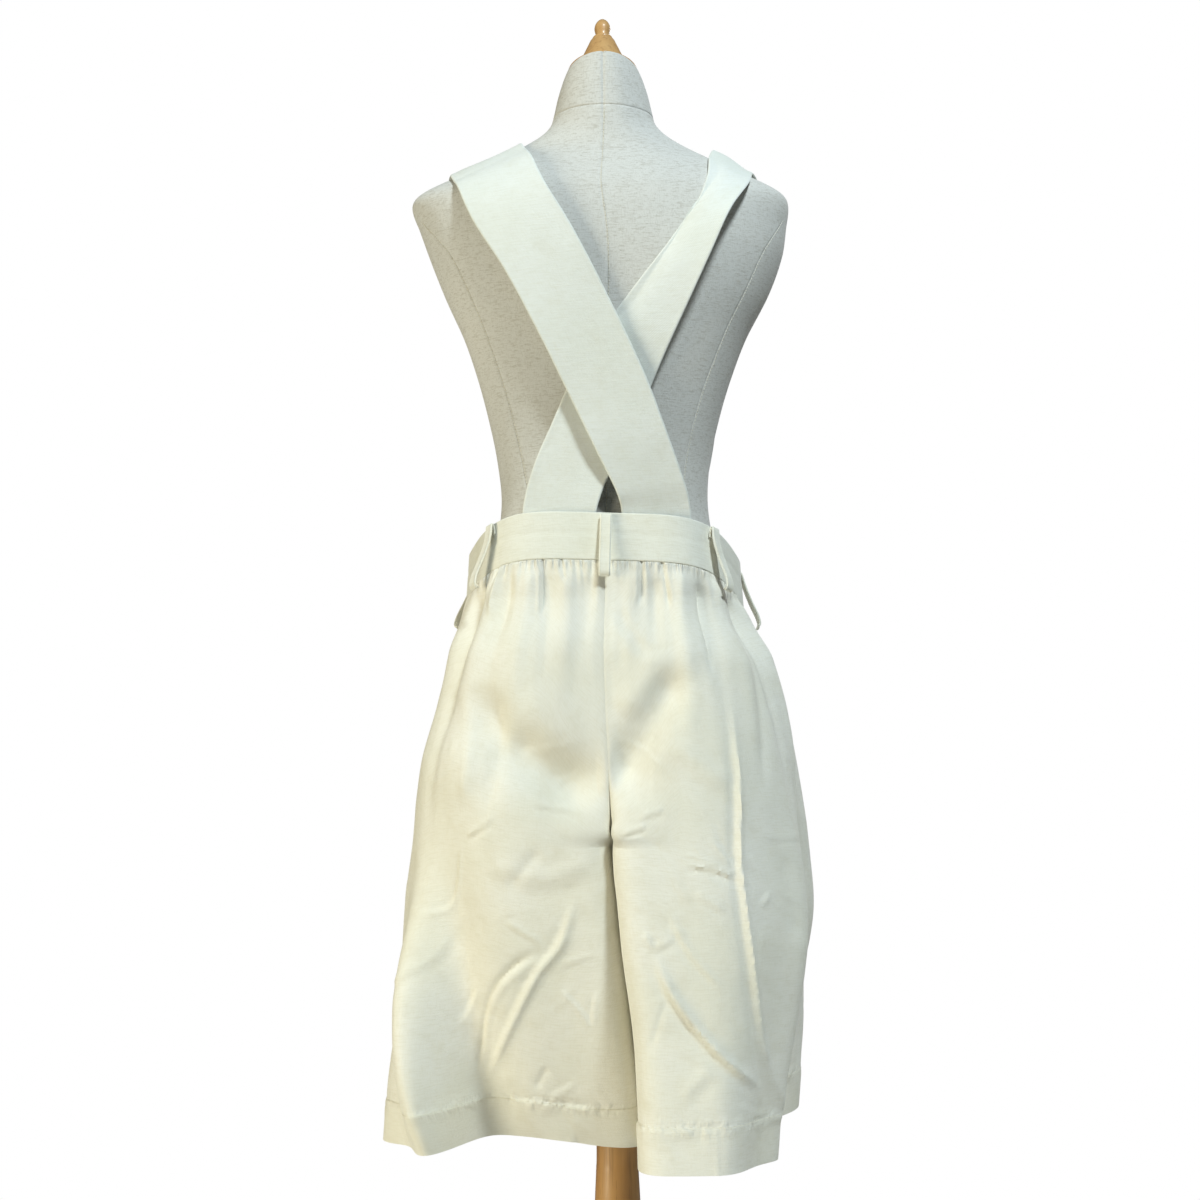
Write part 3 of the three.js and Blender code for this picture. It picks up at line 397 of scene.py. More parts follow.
CLOTH = cotton("cream_twill", (238, 236, 227), (232, 230, 217), (220, 215, 196),
               hem=(224, 218, 196), gathered=True)
LOOP_CLOTH = cotton("loop_twill", (236, 235, 225), (230, 229, 215), (216, 212, 194))
# Partly painted light: the straps are the same cream twill as the shorts, given a cooler, greener tone for
# the cool light from above.
COOL_LIT_STRAP = cotton("strap_twill_cool_lit", (231, 234, 231), (227, 230, 224), (216, 216, 204))
BAND = cotton("band_twill", (235, 235, 226), (229, 229, 216), (216, 213, 196))
LINEN = linen_cover("heathered_linen")
WOOD = varnished_wood("varnished_beech", (196, 150, 92), (170, 120, 66), (112, 72, 36))
FINIAL_WOOD = varnished_wood("finial_beech", (208, 166, 110), (186, 138, 84), (124, 80, 40))
THREAD = thread_finish("cream_thread", (232, 228, 212), (214, 208, 188))
TAPE = thread_finish("neck_tape", (233, 229, 216), (216, 210, 192))
BUTTON = button_finish("pearl_button")


# ---------- meshes ----------
def finish_piece(obj, slot, *nodes):
    """Sets what a finished piece moves with and the solids it stands for; its material slot is not used."""
    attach(obj, "root")
    if nodes:
        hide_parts(*nodes)


def mesh_object(name, points, faces, finish, cut=None, sharp=50, seam=None):
    """A smooth-shaded mesh with its faces outwards. Points are in millimetres."""
    points = np.asarray(points, float) * MM
    faces = np.asarray(faces, int)
    a, b, c, d = (points[faces[:, k]] for k in range(4))
    volume = np.einsum("ij,ij->i", a, np.cross(b, c)).sum() + np.einsum("ij,ij->i", a, np.cross(c, d)).sum()
    if volume < 0:
        faces = faces[:, ::-1]
    mesh = bpy.data.meshes.new(name)
    mesh.vertices.add(len(points))
    mesh.vertices.foreach_set("co", points.ravel())
    mesh.loops.add(faces.size)
    mesh.loops.foreach_set("vertex_index", faces.ravel())
    mesh.polygons.add(len(faces))
    mesh.polygons.foreach_set("loop_start", np.arange(0, faces.size, 4))
    mesh.update(calc_edges=True)
    for title, places in (("cut", cut), ("seam", seam)):
        if places is not None:
            layer = mesh.uv_layers.new(name=title)
            layer.data.foreach_set("uv", (np.asarray(places)[faces.ravel()] * MM).ravel())
    mesh.shade_smooth()
    mesh.set_sharp_from_angle(angle=math.radians(sharp))
    mesh.materials.append(finish)
    return linked(bpy.data.objects.new(name, mesh))


def grid_faces(rows, columns, offset=0, ring=False):
    """Quads between neighbouring points of a grid, which may close on itself across."""
    j, i = np.meshgrid(np.arange(rows - 1), np.arange(columns if ring else columns - 1), indexing="ij")
    a = (offset + j * columns + i).ravel()
    b = (offset + j * columns + (i + 1) % columns).ravel()
    return np.stack([a, b, b + columns, a + columns], axis=1)


def wall(outer, inner):
    """Points and faces of a closed wall between an outer and an inner grid."""
    rows, columns = outer.shape[:2]
    size = rows * columns
    place = np.arange(size).reshape(rows, columns)
    faces = [grid_faces(rows, columns), grid_faces(rows, columns, size)[:, ::-1]]
    for edge in (place[0], place[:, -1], place[-1, ::-1], place[::-1, 0]):
        faces.append(np.stack([edge[1:], edge[:-1], edge[:-1] + size, edge[1:] + size], axis=1))
    return np.vstack([outer.reshape(-1, 3), inner.reshape(-1, 3)]), np.vstack(faces)


def surface_normals(grid, outward):
    """Unit normals of a grid of points, on the side that the outward vectors point to."""
    normals = unit(np.cross(np.gradient(grid, axis=1), np.gradient(grid, axis=0)))
    facing = np.einsum("ijk,ijk->", normals, np.broadcast_to(outward, grid.shape))
    return normals * np.sign(facing)


def cloth_piece(name, slot, node, outer, outward, thickness, finish, cut, seam=None):
    """A piece of cloth whose outer face is a grid; thickness may change over it."""
    depth = np.broadcast_to(thickness, outer.shape[:2])[..., None]
    points, faces = wall(outer, outer - surface_normals(outer, outward) * depth)
    cut, seam = (None if flat is None else np.vstack([flat.reshape(-1, 2)] * 2) for flat in (cut, seam))
    piece = mesh_object(name, points, faces, finish, cut, seam=seam)
    finish_piece(piece, slot, node)
    return piece


def distances(grid, axis):
    """Real distance of each grid point from the first one of its row or column."""
    steps = np.linalg.norm(np.diff(grid, axis=axis), axis=-1)
    start = np.zeros_like(np.take(steps, [0], axis=axis))
    return np.concatenate([start, np.cumsum(steps, axis=axis)], axis=axis)


def area_of(grid):
    """Real area of a grid of points, in square metres."""
    a, b, c, d = grid[:-1, :-1], grid[:-1, 1:], grid[1:, 1:], grid[1:, :-1]
    return np.linalg.norm(np.cross(c - a, d - b), axis=-1).sum() / 2 * MM * MM


# ---------- the dress form's shape ----------
FORM = table("z x half back front square", [
    (773, 2, 142, 98, 84, 2.2), (790, 2, 149, 106, 88, 2.2), (850, 2, 149, 110, 88, 2.2),
    (905, 2, 136.5, 102, 84, 2.2), (945, 1.5, 125, 91, 82, 2.2), (985, 1, 114.5, 80, 82, 2.2),
    (1020, 0.5, 106.5, 74, 83, 2.2), (1050, 0.5, 104.5, 73, 85, 2.2), (1087, 0, 108.5, 76, 90, 2.2),
    (1130, 0.5, 118, 83, 100, 2.2), (1170, 1.5, 129.5, 90, 112, 2.2), (1208, 2.5, 143, 95, 121, 2.2),
    (1249, 4.5, 162.5, 98, 117, 2.2), (1290, 4, 178.5, 98, 98, 2.15), (1320, 1, 186, 94, 78, 2.1),
    (1342, -1.5, 190.5, 88, 62, 2.05), (1353, -1.5, 184, 83, 54, 2), (1368, -0.5, 155, 74, 45, 1.95),
    (1388, 1, 111, 63, 37, 1.85), (1402, 1.5, 81.5, 59, 34, 1.85), (1413, 2, 63.5, 57, 34, 1.9),
    (1423, 2, 54, 55.5, 36, 2), (1433, 2, 50.5, 54, 37, 2), (1452, 2, 46, 51, 34, 2),
    (1466, 2, 41.5, 48, 32, 2), (1474, 2, 38, 46, 30, 2)])


def form_reach(points):
    """1 on the form's skin, more outside it."""
    x, y, z = np.moveaxis(points, -1, 0)
    square = column(FORM, "square", z)
    depth = np.where(y < 0, column(FORM, "back", z), column(FORM, "front", z))
    across = np.abs(x - column(FORM, "x", z)) / column(FORM, "half", z)
    return (across ** square + (np.abs(y) / depth) ** square) ** (1 / square)


def form_gap(points):
    """How far out points lie from the form's skin, and the direction straight out of it."""
    step = 0.5
    slope = np.stack([form_reach(points + step * way) - form_reach(points - step * way)
                      for way in np.eye(3)], axis=-1) / (2 * step)
    size = np.linalg.norm(slope, axis=-1)
    return (form_reach(points) - 1) / size, slope / size[..., None]


def clear_of_form(points, clearance):
    """Moves points straight out until they lie at least that far from the form."""
    for _ in range(6):
        gap, out = form_gap(points)
        points = points + out * np.maximum(clearance - gap, 0)[..., None]
    return points


# ---------- the waistband's shape ----------
def band_top_z(x, y):
    return BAND_SIDE_Z - BAND_TILT * y - BAND_LEAN * x


def band_foot_z(x, y):
    return band_top_z(x, y) - BAND_HEIGHT


def oval_point(oval, turn):
    """Plan of the waist: turn 0 is the side on +X, a quarter turn back the centre back."""
    at_back = np.sin(turn) < 0
    across, deep = (np.where(at_back, back, front)
                    for back, front in zip(BAND_SQUARE["back"], BAND_SQUARE["front"]))
    return (oval["side"] * signed_power(np.cos(turn), 2 / across),
            np.where(at_back, oval["back"], oval["front"]) * signed_power(np.sin(turn), 2 / deep))


def oval_stretch(oval, start, end, steps):
    """Evenly spaced points along a stretch of that oval."""
    line = joined(*oval_point(oval, np.linspace(start, end, 801)))
    lengths = lengths_along(line)
    at = np.linspace(0, lengths[-1], steps + 1)
    return np.interp(at, lengths, line[:, 0]), np.interp(at, lengths, line[:, 1])


def band_frame(turn):
    """A place on the foot of the band's face, with the ways along, out of and up that face."""
    def foot(angle):
        x, y = oval_point(BAND_FOOT, np.array(angle))
        return np.array([x, y, band_foot_z(x, y)], float)

    origin = foot(turn)
    top_x, top_y = oval_point(BAND_TOP, np.array(turn))
    up = unit(np.array([top_x, top_y, band_top_z(top_x, top_y)], float) - origin)
    along = unit(foot(turn + 0.02) - foot(turn - 0.02))
    out = unit(np.cross(along, up))
    out = out * np.sign(out @ (origin * (1, 1, 0)))
    up = np.cross(out, along)
    return origin, along, out, up * np.sign(up[2])


# ---------- the panels' shape ----------
LEG_COLUMNS = "z side_x side_y back_x back_y front_x front_y inner_x"
LEGS = {
    "left": table(LEG_COLUMNS, [
        (941, -141, 0, -55, -104, -55, 98, 0), (900, -150, 2, -60, -119, -60, 101, 0),
        (840, -168, 4, -64, -130, -66, 109, 0), (780, -187, 4, -66, -136, -72, 117, 0),
        (700, -197, 2, -66, -137, -78, 124, 6), (620, -206, 0, -62, -130, -84, 128, 13),
        (540, -212, -4, -56, -115, -90, 130, 21), (460, -223, -8, -44, -92, -96, 132, 28),
        (400, -228, -10, -32, -66, -98, 132, 33)]),
    "right": table(LEG_COLUMNS, [
        (941, 142, 0, 55, -104, 55, 98, 0), (900, 158, 4, 60, -121, 60, 101, 0),
        (840, 179, 8, 64, -135, 66, 110, 0), (780, 194, 14, 70, -146, 76, 122, 0),
        (700, 206, 22, 78, -157, 90, 130, -1), (620, 211, 28, 84, -167, 104, 138, 6),
        (540, 193, 30, 90, -176, 116, 148, 16), (460, 169, 30, 95, -185, 126, 160, 22),
        (400, 157, 30, 99, -192, 130, 168, 23)]),
}
CENTRE = table("z x back_y front_y", [
    (975, 0, -97, 96), (900, -2, -116, 99), (840, -1, -125, 103), (790, 1, -127, 102),
    (750, 3, -124, 97), (725, 4.5, -116, 84), (710, 7, -96, 60), (CROTCH_Z, CROTCH_X, 1, 1)])
INSEAM = table("z x y", [(CROTCH_Z, CROTCH_X, 1), (640, 35, 2), (400, 37, 4)])
CENTRE_DIVIDES_Z = 750                   # where the two legs begin to part
LEG_PARTING = 2                          # how far they stand apart at the hem
PLAN_SQUARE, INNER_SQUARE = 2.25, 7      # squareness of a leg's plan, and of its inner half
INNER_TUCK = (0.08, 0.58)                # from which share of its depth to which the right leg tucks in
INNER_BLEND = 36                         # height above the crotch over which the inner edges close
WAIST_SHARE, HEM_SHARE = 0.7, 0.55       # share of a panel from its side seam to its reach
PUFF = 3                                 # how far the cloth swells just below the band
HEM_LIFT = {"back_left": 12, "back_right": 0, "front_left": 4, "front_right": 11}

# Folds: where each starts and ends along the panel (0 at the side seam, 1 at the centre seam), from
# which part of its length to which, its half width, and its height in all and at the hem.
FOLD_COLUMNS = "start end first last width height hem"
FOLDS = {
    "back_left": table(FOLD_COLUMNS, [
        (0.2, 0.14, 0, 0.5, 14, 5, 0), (0.31, 0.24, 0, 0.55, 11, -9, 0), (0.42, 0.36, 0, 0.55, 12, 6, 0),
        (0.53, 0.47, 0, 0.3, 8, -4, 0), (0.62, 0.57, 0, 0.35, 9, 4, 0), (0.72, 0.7, 0, 0.25, 7, -4, 0),
        (0.82, 0.8, 0, 0.3, 8, 4, 0), (0.92, 0.9, 0, 0.2, 6, -3, 0),
        (0.26, 0.215, 0.4, 1.6, 24, 12, 60), (0.37, 0.32, 0.3, 1.6, 36, -14, -24)]),
    "back_right": table(FOLD_COLUMNS, [
        (0.1, 0.09, 0, 0.5, 10, -8, 0), (0.19, 0.2, 0, 0.6, 10, 7, 0), (0.28, 0.3, 0, 0.55, 9, -7, 0),
        (0.4, 0.4, 0, 0.45, 12, 6, 0), (0.52, 0.52, 0, 0.3, 8, -5, 0), (0.63, 0.64, 0, 0.4, 10, 5, 0),
        (0.75, 0.76, 0, 0.25, 7, -4, 0), (0.87, 0.88, 0, 0.25, 7, 3, 0),
        (0.17, 0.16, 0.2, 1.6, 30, -16, -12), (0.3, 0.34, 0.3, 1.6, 22, 9, 15)]),
    "front_left": table(FOLD_COLUMNS, [
        (0.15, 0.12, 0, 0.5, 12, 5, 0), (0.33, 0.3, 0, 0.4, 10, -5, 0), (0.5, 0.47, 0, 0.45, 11, 5, 0),
        (0.68, 0.66, 0, 0.3, 9, -4, 0), (0.3, 0.26, 0.3, 1.6, 34, -16, -28),
        (0.5, 0.46, 0.3, 1.6, 30, 10, 18)]),
    "front_right": table(FOLD_COLUMNS, [
        (0.12, 0.13, 0, 0.5, 12, -6, 0), (0.3, 0.3, 0, 0.4, 10, 4, 0), (0.48, 0.48, 0, 0.45, 11, -5, 0),
        (0.66, 0.66, 0, 0.3, 9, 4, 0), (0.3, 0.32, 0.3, 1.6, 42, 12, 50),
        (0.62, 0.64, 0.3, 1.6, 30, -10, -22)]),
}

# Creases pressed into the cloth by wear and storage: a line through places across (x) and up (z),
# its half width and height (a hollow is below 0), and the share of a hollow beside it, on its right
# (above 0) or its left (below 0), seen from the line's start.
CREASE_DEPTH = 1.5               # how strongly all of them are pressed
CRINKLES = 34                    # small creases laid at random in each panel
CREASES = {
    "back_left": [
        ([(-29, 657), (-44, 609), (-68, 577), (-97, 520), (-127, 460)], 3.7, 3.3, 0.25),
        ([(-58, 606), (-94, 583), (-121, 545), (-136, 474)], 3.4, -2.91, -0.5),
        ([(-99, 631), (-62, 609)], 2.2, 1.12, 0.4),
        ([(-45, 588), (-26, 594), (-10, 598)], 2.2, 1.01, 0.5),
        ([(-49, 566), (-30, 546), (-15, 523)], 2.2, 1.01, -0.5),
        ([(-11, 562), (-15, 523)], 2.2, 0.9, 0.4),
        ([(-58, 488), (-72, 464)], 2.4, -1.57, 0),
        ([(-191, 637), (-166, 637), (-152, 655), (-143, 702)], 2.2, 1.01, -0.6),
        ([(-75, 743), (-19, 733)], 2.4, 1.01, 0.6),
        ([(-139, 710), (-106, 730)], 2.7, 1.01, 0.5),
        ([(-142, 856), (-100, 802), (-44, 766), (8, 748)], 27, -9.5, 0),
        ([(-98, 812), (-52, 774), (-4, 740)], 22, -4, 0),
        ([(-112, 862), (-108, 800), (-114, 730)], 11, -2.4, 0),
        ([(-56, 992), (-57, 945), (-61, 918)], 2.2, -2.02, 0.5),
        ([(-40, 992), (-37, 952)], 2.2, -1.68, 0.5),
        ([(-100, 985), (-106, 950), (-112, 918)], 2.7, 1.79, 0.6),
        ([(-133, 850), (-133, 790), (-138, 736)], 7, 2.4, 0),
        ([(-120, 690), (-60, 672), (-8, 690)], 9, 1, 0.5),
        ([(-128, 566), (-150, 520)], 3.4, 1.34, 0.5),
        ([(-62, 700), (-96, 660)], 6, -1, 0),
        ([(-196, 560), (-170, 590), (-160, 620)], 3.4, 1.01, 0.5),
        ([(-30, 470), (-60, 452)], 2.7, 0.9, 0.5),
    ],
    "back_right": [
        ([(60, 892), (34, 850), (14, 820)], 12, 1.8, 0),
        ([(76, 876), (48, 828), (20, 782), (2, 748)], 17, -8, 0),
        ([(12, 930), (34, 890), (48, 893)], 6, -1.2, 0.4),
        ([(33, 992), (33, 950), (31, 928)], 2.2, -2.13, 0.5),
        ([(50, 992), (55, 955), (61, 925)], 2.2, -1.9, -0.5),
        ([(29, 729), (55, 736)], 2.2, 1.12, 0.6),
        ([(12, 713), (39, 721)], 2.2, 1.12, 0.6),
        ([(66, 686), (98, 681), (125, 670)], 2.3, 1.46, 0.6),
        ([(43, 607), (58, 568), (88, 527), (119, 495), (149, 469)], 3.7, 3.5, 0.3),
        ([(56, 642), (77, 603), (107, 569)], 2.3, 1.34, 0.6),
        ([(43, 607), (34, 622)], 2.2, 1.34, 0.5),
        ([(43, 607), (62, 616)], 2.2, 1.12, 0.5),
        ([(55, 563), (37, 510)], 2.7, -1.01, 0),
        ([(154, 656), (144, 645)], 2.2, 1.12, 0.5),
        ([(90, 965), (96, 915), (103, 860)], 3.4, -2.91, 0),
        ([(109, 949), (136, 896), (147, 849), (153, 744)], 6, -2.8, 0),
        ([(122, 951), (145, 905), (162, 862)], 3.4, -2.46, 0),
        ([(119, 852), (125, 760), (125, 688), (130, 638), (140, 548), (149, 477), (160, 404)],
         3.4, 2.91, 0.5),
        ([(60, 800), (100, 770), (122, 760)], 9, 1, 0.5),
        ([(80, 660), (112, 640)], 3.4, 0.9, 0.5),
        ([(66, 470), (96, 500)], 6, 0.8, 0.5),
        ([(166, 700), (176, 640), (174, 600)], 7, -1.6, 0),
    ],
    "front_left": [
        ([(-40, 690), (-80, 640), (-130, 610)], 3.4, 2.02, 0.5),
        ([(-30, 600), (-66, 540), (-120, 500)], 3.4, 1.79, 0.5),
        ([(-170, 700), (-150, 640), (-160, 570)], 6, -1.8, 0),
        ([(-60, 820), (-30, 770), (-8, 730)], 10, -2.6, 0),
        ([(-110, 760), (-60, 748)], 2.7, 1.12, 0.5),
    ],
    "front_right": [
        ([(50, 690), (90, 650), (140, 628)], 3.4, 2.02, -0.5),
        ([(60, 600), (96, 545), (150, 505)], 3.4, 1.79, -0.5),
        ([(70, 820), (40, 775), (16, 735)], 10, -2.6, 0),
        ([(120, 760), (70, 742)], 2.7, 1.12, 0.5),
        ([(176, 680), (164, 600), (172, 520)], 6, -1.6, 0),
    ],
}


def point_along(x, y, share):
    """The point at a share of each flat path's length."""
    lengths = np.concatenate([np.zeros_like(x[..., :1]),
                              np.cumsum(np.hypot(np.diff(x), np.diff(y)), axis=-1)], axis=-1)
    target = lengths[..., -1] * share
    k = np.clip((lengths < target[..., None]).sum(-1) - 1, 0, x.shape[-1] - 2)

    def pick(values, place):
        return np.take_along_axis(values, place[..., None], -1)[..., 0]

    t = (target - pick(lengths, k)) / np.maximum(pick(lengths, k + 1) - pick(lengths, k), 1e-9)
    return lerp(pick(x, k), pick(x, k + 1), t), lerp(pick(y, k), pick(y, k + 1), t)


def panel_plan(side, face, z, v, u):
    """Plan of a panel without its folds: u runs from the side seam to the centre seam or inseam."""
    leg, sign, turn = LEGS[side], SIGN[side], TURN[face]
    away = SEWN_GAP / 2
    above = z > CROTCH_Z
    parting = LEG_PARTING * clamp01((CROTCH_Z - z) / (CROTCH_Z - HEM_Z))
    seam_x, seam_y, reach_x, reach_y = (
        column(leg, name, z)[..., None] for name in ("side_x", "side_y", face + "_x", face + "_y"))
    seam_y = seam_y + turn * away
    end_x = np.where(above, column(CENTRE, "x", z), column(INSEAM, "x", z)) + sign * (away + parting)
    end_y = np.where(above, column(CENTRE, face + "_y", z), column(INSEAM, "y", z)) + turn * away
    parted = smooth((CROTCH_Z + INNER_BLEND - z) / INNER_BLEND)
    inner_x = lerp(end_x, column(leg, "inner_x", z) + sign * away, parted)[..., None]
    angle = np.linspace(0, math.pi / 2, 97)
    cos, sin = np.cos(angle).clip(0), np.sin(angle)
    power = 2 / PLAN_SQUARE
    outside_x = reach_x + (seam_x - reach_x) * cos ** power
    outside_y = seam_y + (reach_y - seam_y) * sin ** power
    turn_in = 2 / lerp(PLAN_SQUARE, INNER_SQUARE, smooth((CENTRE_DIVIDES_Z - z) / 60))[..., None]
    depth = 1 - cos ** turn_in
    start, end = INNER_TUCK
    tuck = depth ** 2 if side == "left" else smooth((depth - start) / (end - start))
    inside_x = reach_x + (inner_x - reach_x) * sin ** turn_in + (end_x[..., None] - inner_x) * tuck
    inside_y = lerp(reach_y, end_y[..., None], depth)
    flat = smooth((z - CENTRE_DIVIDES_Z + 15) / 40)[..., None]
    level = lerp(reach_y, end_y[..., None], smooth((inside_x - reach_x) / (end_x[..., None] - reach_x)))
    inside_y = lerp(inside_y, level, flat)
    share = lerp(WAIST_SHARE, HEM_SHARE, smooth(v))
    first = u < share
    part = np.where(first, u / share, (u - share) / (1 - share))
    first = first[..., None]
    return point_along(np.where(first, outside_x, inside_x), np.where(first, outside_y, inside_y), part)


def fold_height(name, u, v, arc):
    """Height of a panel's large folds."""
    height = np.zeros_like(u)
    folds = FOLDS[name]
    for start, end, first, last, width, rise, hem in zip(*folds.values()):
        place = lerp(start, end, clamp01(v / min(last, 1)))
        if last > 1:
            share = smooth((v - first) / 0.35)
            tall = lerp(rise, hem, smooth((v - 0.4) / 0.6))
        else:
            share = smooth(v / 0.05) * (1 - smooth((v - first) / (last - first)))
            tall = rise
        height += tall * share * bell((u - place) * arc, width)
    return height


def crease_height(x, z, line, half_width, height, hollow):
    """Height of one crease at places across and up, with soft ends."""
    path = smooth_path(line)
    near = ((x > path[:, 0].min() - 4 * half_width) & (x < path[:, 0].max() + 4 * half_width)
            & (z > path[:, 1].min() - 4 * half_width) & (z < path[:, 1].max() + 4 * half_width))
    start, step = path[:-1], np.diff(path, axis=0)
    size = np.linalg.norm(step, axis=1)
    from_x, from_z = x[near][:, None] - start[:, 0], z[near][:, None] - start[:, 1]
    t = clamp01((from_x * step[:, 0] + from_z * step[:, 1]) / size ** 2)
    off_x, off_z = from_x - t * step[:, 0], from_z - t * step[:, 1]
    distance = np.hypot(off_x, off_z)
    k = distance.argmin(axis=1)
    pick = np.arange(len(k)), k
    share = (lengths_along(path)[k] + t[pick] * size[k]) / size.sum()
    side = np.sign(step[k, 1] * from_x[pick] - step[k, 0] * from_z[pick])
    away = distance[pick] * side
    ends = CREASE_DEPTH * smooth(share / 0.25) * smooth((1 - share) / 0.25)
    profile = np.exp(-np.abs(away / half_width) ** (1.25 if half_width < 6 else 2))
    profile -= abs(hollow) * bell(away - np.sign(hollow) * 1.9 * half_width, half_width * 1.1)
    result = np.zeros_like(x)
    result[near] = height * ends * profile
    return result


def crinkles(rng, x, z, sign):
    """Many small sharp creases in the lower part of a leg, lying any way but mostly sloping."""
    height = np.zeros_like(x)
    for _ in range(CRINKLES):
        place = np.array([sign * rng.uniform(25, 190), rng.uniform(440, 800)])
        angle = sign * rng.normal(-0.75, 0.45)
        way = np.array([math.cos(angle), math.sin(angle)]) * rng.uniform(14, 42)
        bow = np.array([-way[1], way[0]]) * rng.uniform(-0.15, 0.15)
        line = [place - way, place + bow, place + way]
        half_width, tall, hollow = rng.uniform(1.8, 3.2), rng.uniform(-0.35, 0.6), rng.uniform(-0.6, 0.6)
        height += crease_height(x, z, line, half_width, tall, hollow)
    return height


def gathers(rng, across, down, width):
    """Small puckers that start in the band's seam and die out below it."""
    height = np.zeros_like(across)
    place = rng.uniform(2, 6)
    while place < width - 4:
        tall, half_width, lasting = rng.uniform(0.9, 2.4), rng.uniform(1.5, 2.5), rng.uniform(6, 22)
        if rng.random() < 0.3:
            tall, half_width, lasting = tall + 0.9, half_width + 0.8, lasting + 34
        off = across - place - rng.uniform(-0.12, 0.12) * down
        height += tall * bell(off, half_width * (1 + down / 45)) * np.exp(-down / lasting)
        place += rng.uniform(4.5, 8.5)
    return height * smooth(down / 2.5)


PANEL_SEEDS = {"back_left": 11, "back_right": 23, "front_left": 37, "front_right": 41}
SEAM_NOTCH, SEAM_HALF_WIDTH = 0.5, 1.5      # how deep the cloth dips along a seam, and how wide
HEM_NOTCH, HEM_NOTCH_HALF_WIDTH = 1.1, 1.7  # the same along the hem's sewn line
HEM_STEP = 0.5                              # how far the doubled hem stands out
SEAM_SHARE = 0.06                           # share of a panel beside its seams where folds die out
NORMAL_SHARE = 0.014                        # share of a panel over which its direction is measured
HILL_SPAN = 300                             # width of a panel, for its large soft hills
PUCKER_SHIFT = {"left": 300, "right": 0}    # so that the two sides pucker differently


def panel_relief(name, sign, u, v, x, z, down, above_hem, arc, waist_arc):
    """How far a panel stands out from its plan: folds, creases, puff, gathers and hem."""
    rng = np.random.default_rng(PANEL_SEEDS[name])
    height = fold_height(name, u, v, arc)
    for crease in CREASES[name]:
        height += crease_height(x, z, *crease)
    height += crinkles(rng, x, z, sign)
    for tall, cell in ((1.1, 62), (0.35, 21)):
        height += tall * value_noise(rng, u * HILL_SPAN, z, cell) * smooth(down / 60)
    height *= smooth(u / SEAM_SHARE) * smooth((1 - u) / SEAM_SHARE)
    height += PUFF * smooth(v / 0.03) * (1 - smooth((v - 0.03) / 0.2))
    height += gathers(rng, u * waist_arc, down, waist_arc)
    height += HEM_STEP * smooth((HEM_TURNING - above_hem) / 2 + 0.5)
    height -= HEM_NOTCH * bell(above_hem - HEM_TURNING, HEM_NOTCH_HALF_WIDTH)
    pulls = value_noise(rng, u * arc, z + 0.3 * u * arc, 10)
    height += pulls * bell(above_hem - HEM_TURNING + 4, 9)
    height += 1.6 * value_noise(rng, u * arc, z, 34) * smooth((HEM_TURNING + 20 - above_hem) / 40)
    notches = bell(u * arc, SEAM_HALF_WIDTH) + bell((1 - u) * arc, SEAM_HALF_WIDTH)
    return height - SEAM_NOTCH * notches * smooth(down / 8)


def panel_grid(side, face, columns, stretches):
    """One panel's outer face as rows of points from the band to the hem, with its flat places."""
    name, sign, turn = f"{face}_{side}", SIGN[side], TURN[face]
    waist_x, waist_y = oval_stretch(BAND_FOOT, 0, turn * math.pi / 2, columns)
    stops = [start for start, _ in stretches] + [1]
    v = np.concatenate([np.linspace(start, stop, rows, endpoint=False)
                        for (start, rows), stop in zip(stretches, stops[1:])] + [[1]])[:, None]
    u = np.broadcast_to(np.linspace(0, 1, columns + 1), (len(v), columns + 1))
    v = np.broadcast_to(v, u.shape)
    hem_z = HEM_Z + HEM_LIFT[name] * bell(u - 0.42, 0.17)
    top_z = band_foot_z(sign * waist_x, waist_y) - SEAM_GAP
    z = lerp(np.broadcast_to(top_z, u.shape), hem_z, v)
    x, y = panel_plan(side, face, z, v, u)
    ahead, behind = np.minimum(u + NORMAL_SHARE, 1), np.maximum(u - NORMAL_SHARE, 0)
    ahead_x, ahead_y = panel_plan(side, face, z, v, ahead)
    behind_x, behind_y = panel_plan(side, face, z, v, behind)
    reach = np.hypot(ahead_x - behind_x, ahead_y - behind_y)
    arc = reach / (ahead - behind)
    out_x = sign * turn * (ahead_y - behind_y) / reach
    out_y = -sign * turn * (ahead_x - behind_x) / reach
    down = top_z - z
    waist_arc = lengths_along(joined(waist_x, waist_y))[-1]
    height = panel_relief(name, sign, u, v, x, z, down, z - hem_z, arc, waist_arc)

    # Just below the band the panel still follows the band's own oval.
    settle = smooth(v / (0.09 + 0.07 * smooth(u / 0.4)))
    centre_shift = np.where(u == 1, sign * SEWN_GAP / 2, 0)
    side_shift = np.where(u == 0, turn * SEWN_GAP / 2, 0)
    plain_x = lerp(sign * waist_x + centre_shift, x, settle)
    plain_y = lerp(waist_y + side_shift, y, settle)
    moved_x = out_x * height * smooth((1 - u) / SEAM_SHARE)
    moved_y = out_y * height * smooth(u / SEAM_SHARE)
    grid = joined(plain_x + moved_x, plain_y + moved_y, z)
    cut = joined(distances(grid, 1), distances(grid[::-1], 0)[::-1])
    return grid, cut, joined(u * waist_arc + PUCKER_SHIFT[side], down)


def shifted(grid):
    """Places given from the garment's middle, in the frame's own place."""
    return grid + (GARMENT_X, 0, 0)


# Flat size of each cut panel in metres, width and length, with its turnings.
PANEL_CUT = {"back": (0.44, 0.64), "front": (0.38, 0.62)}
# Columns of each panel's mesh, and its rows from one share of its length to the next.
PANEL_STEPS = {"back": (204, [(0, 46), (0.09, 66), (0.456, 34), (0.494, 86)]),
               "front": (120, [(0, 30), (0.09, 44), (0.37, 24), (0.415, 52)])}
LEG_MIDDLE_X = {"left": -90, "right": 110}      # a place inside each leg, away from which it faces
hem_lines = []


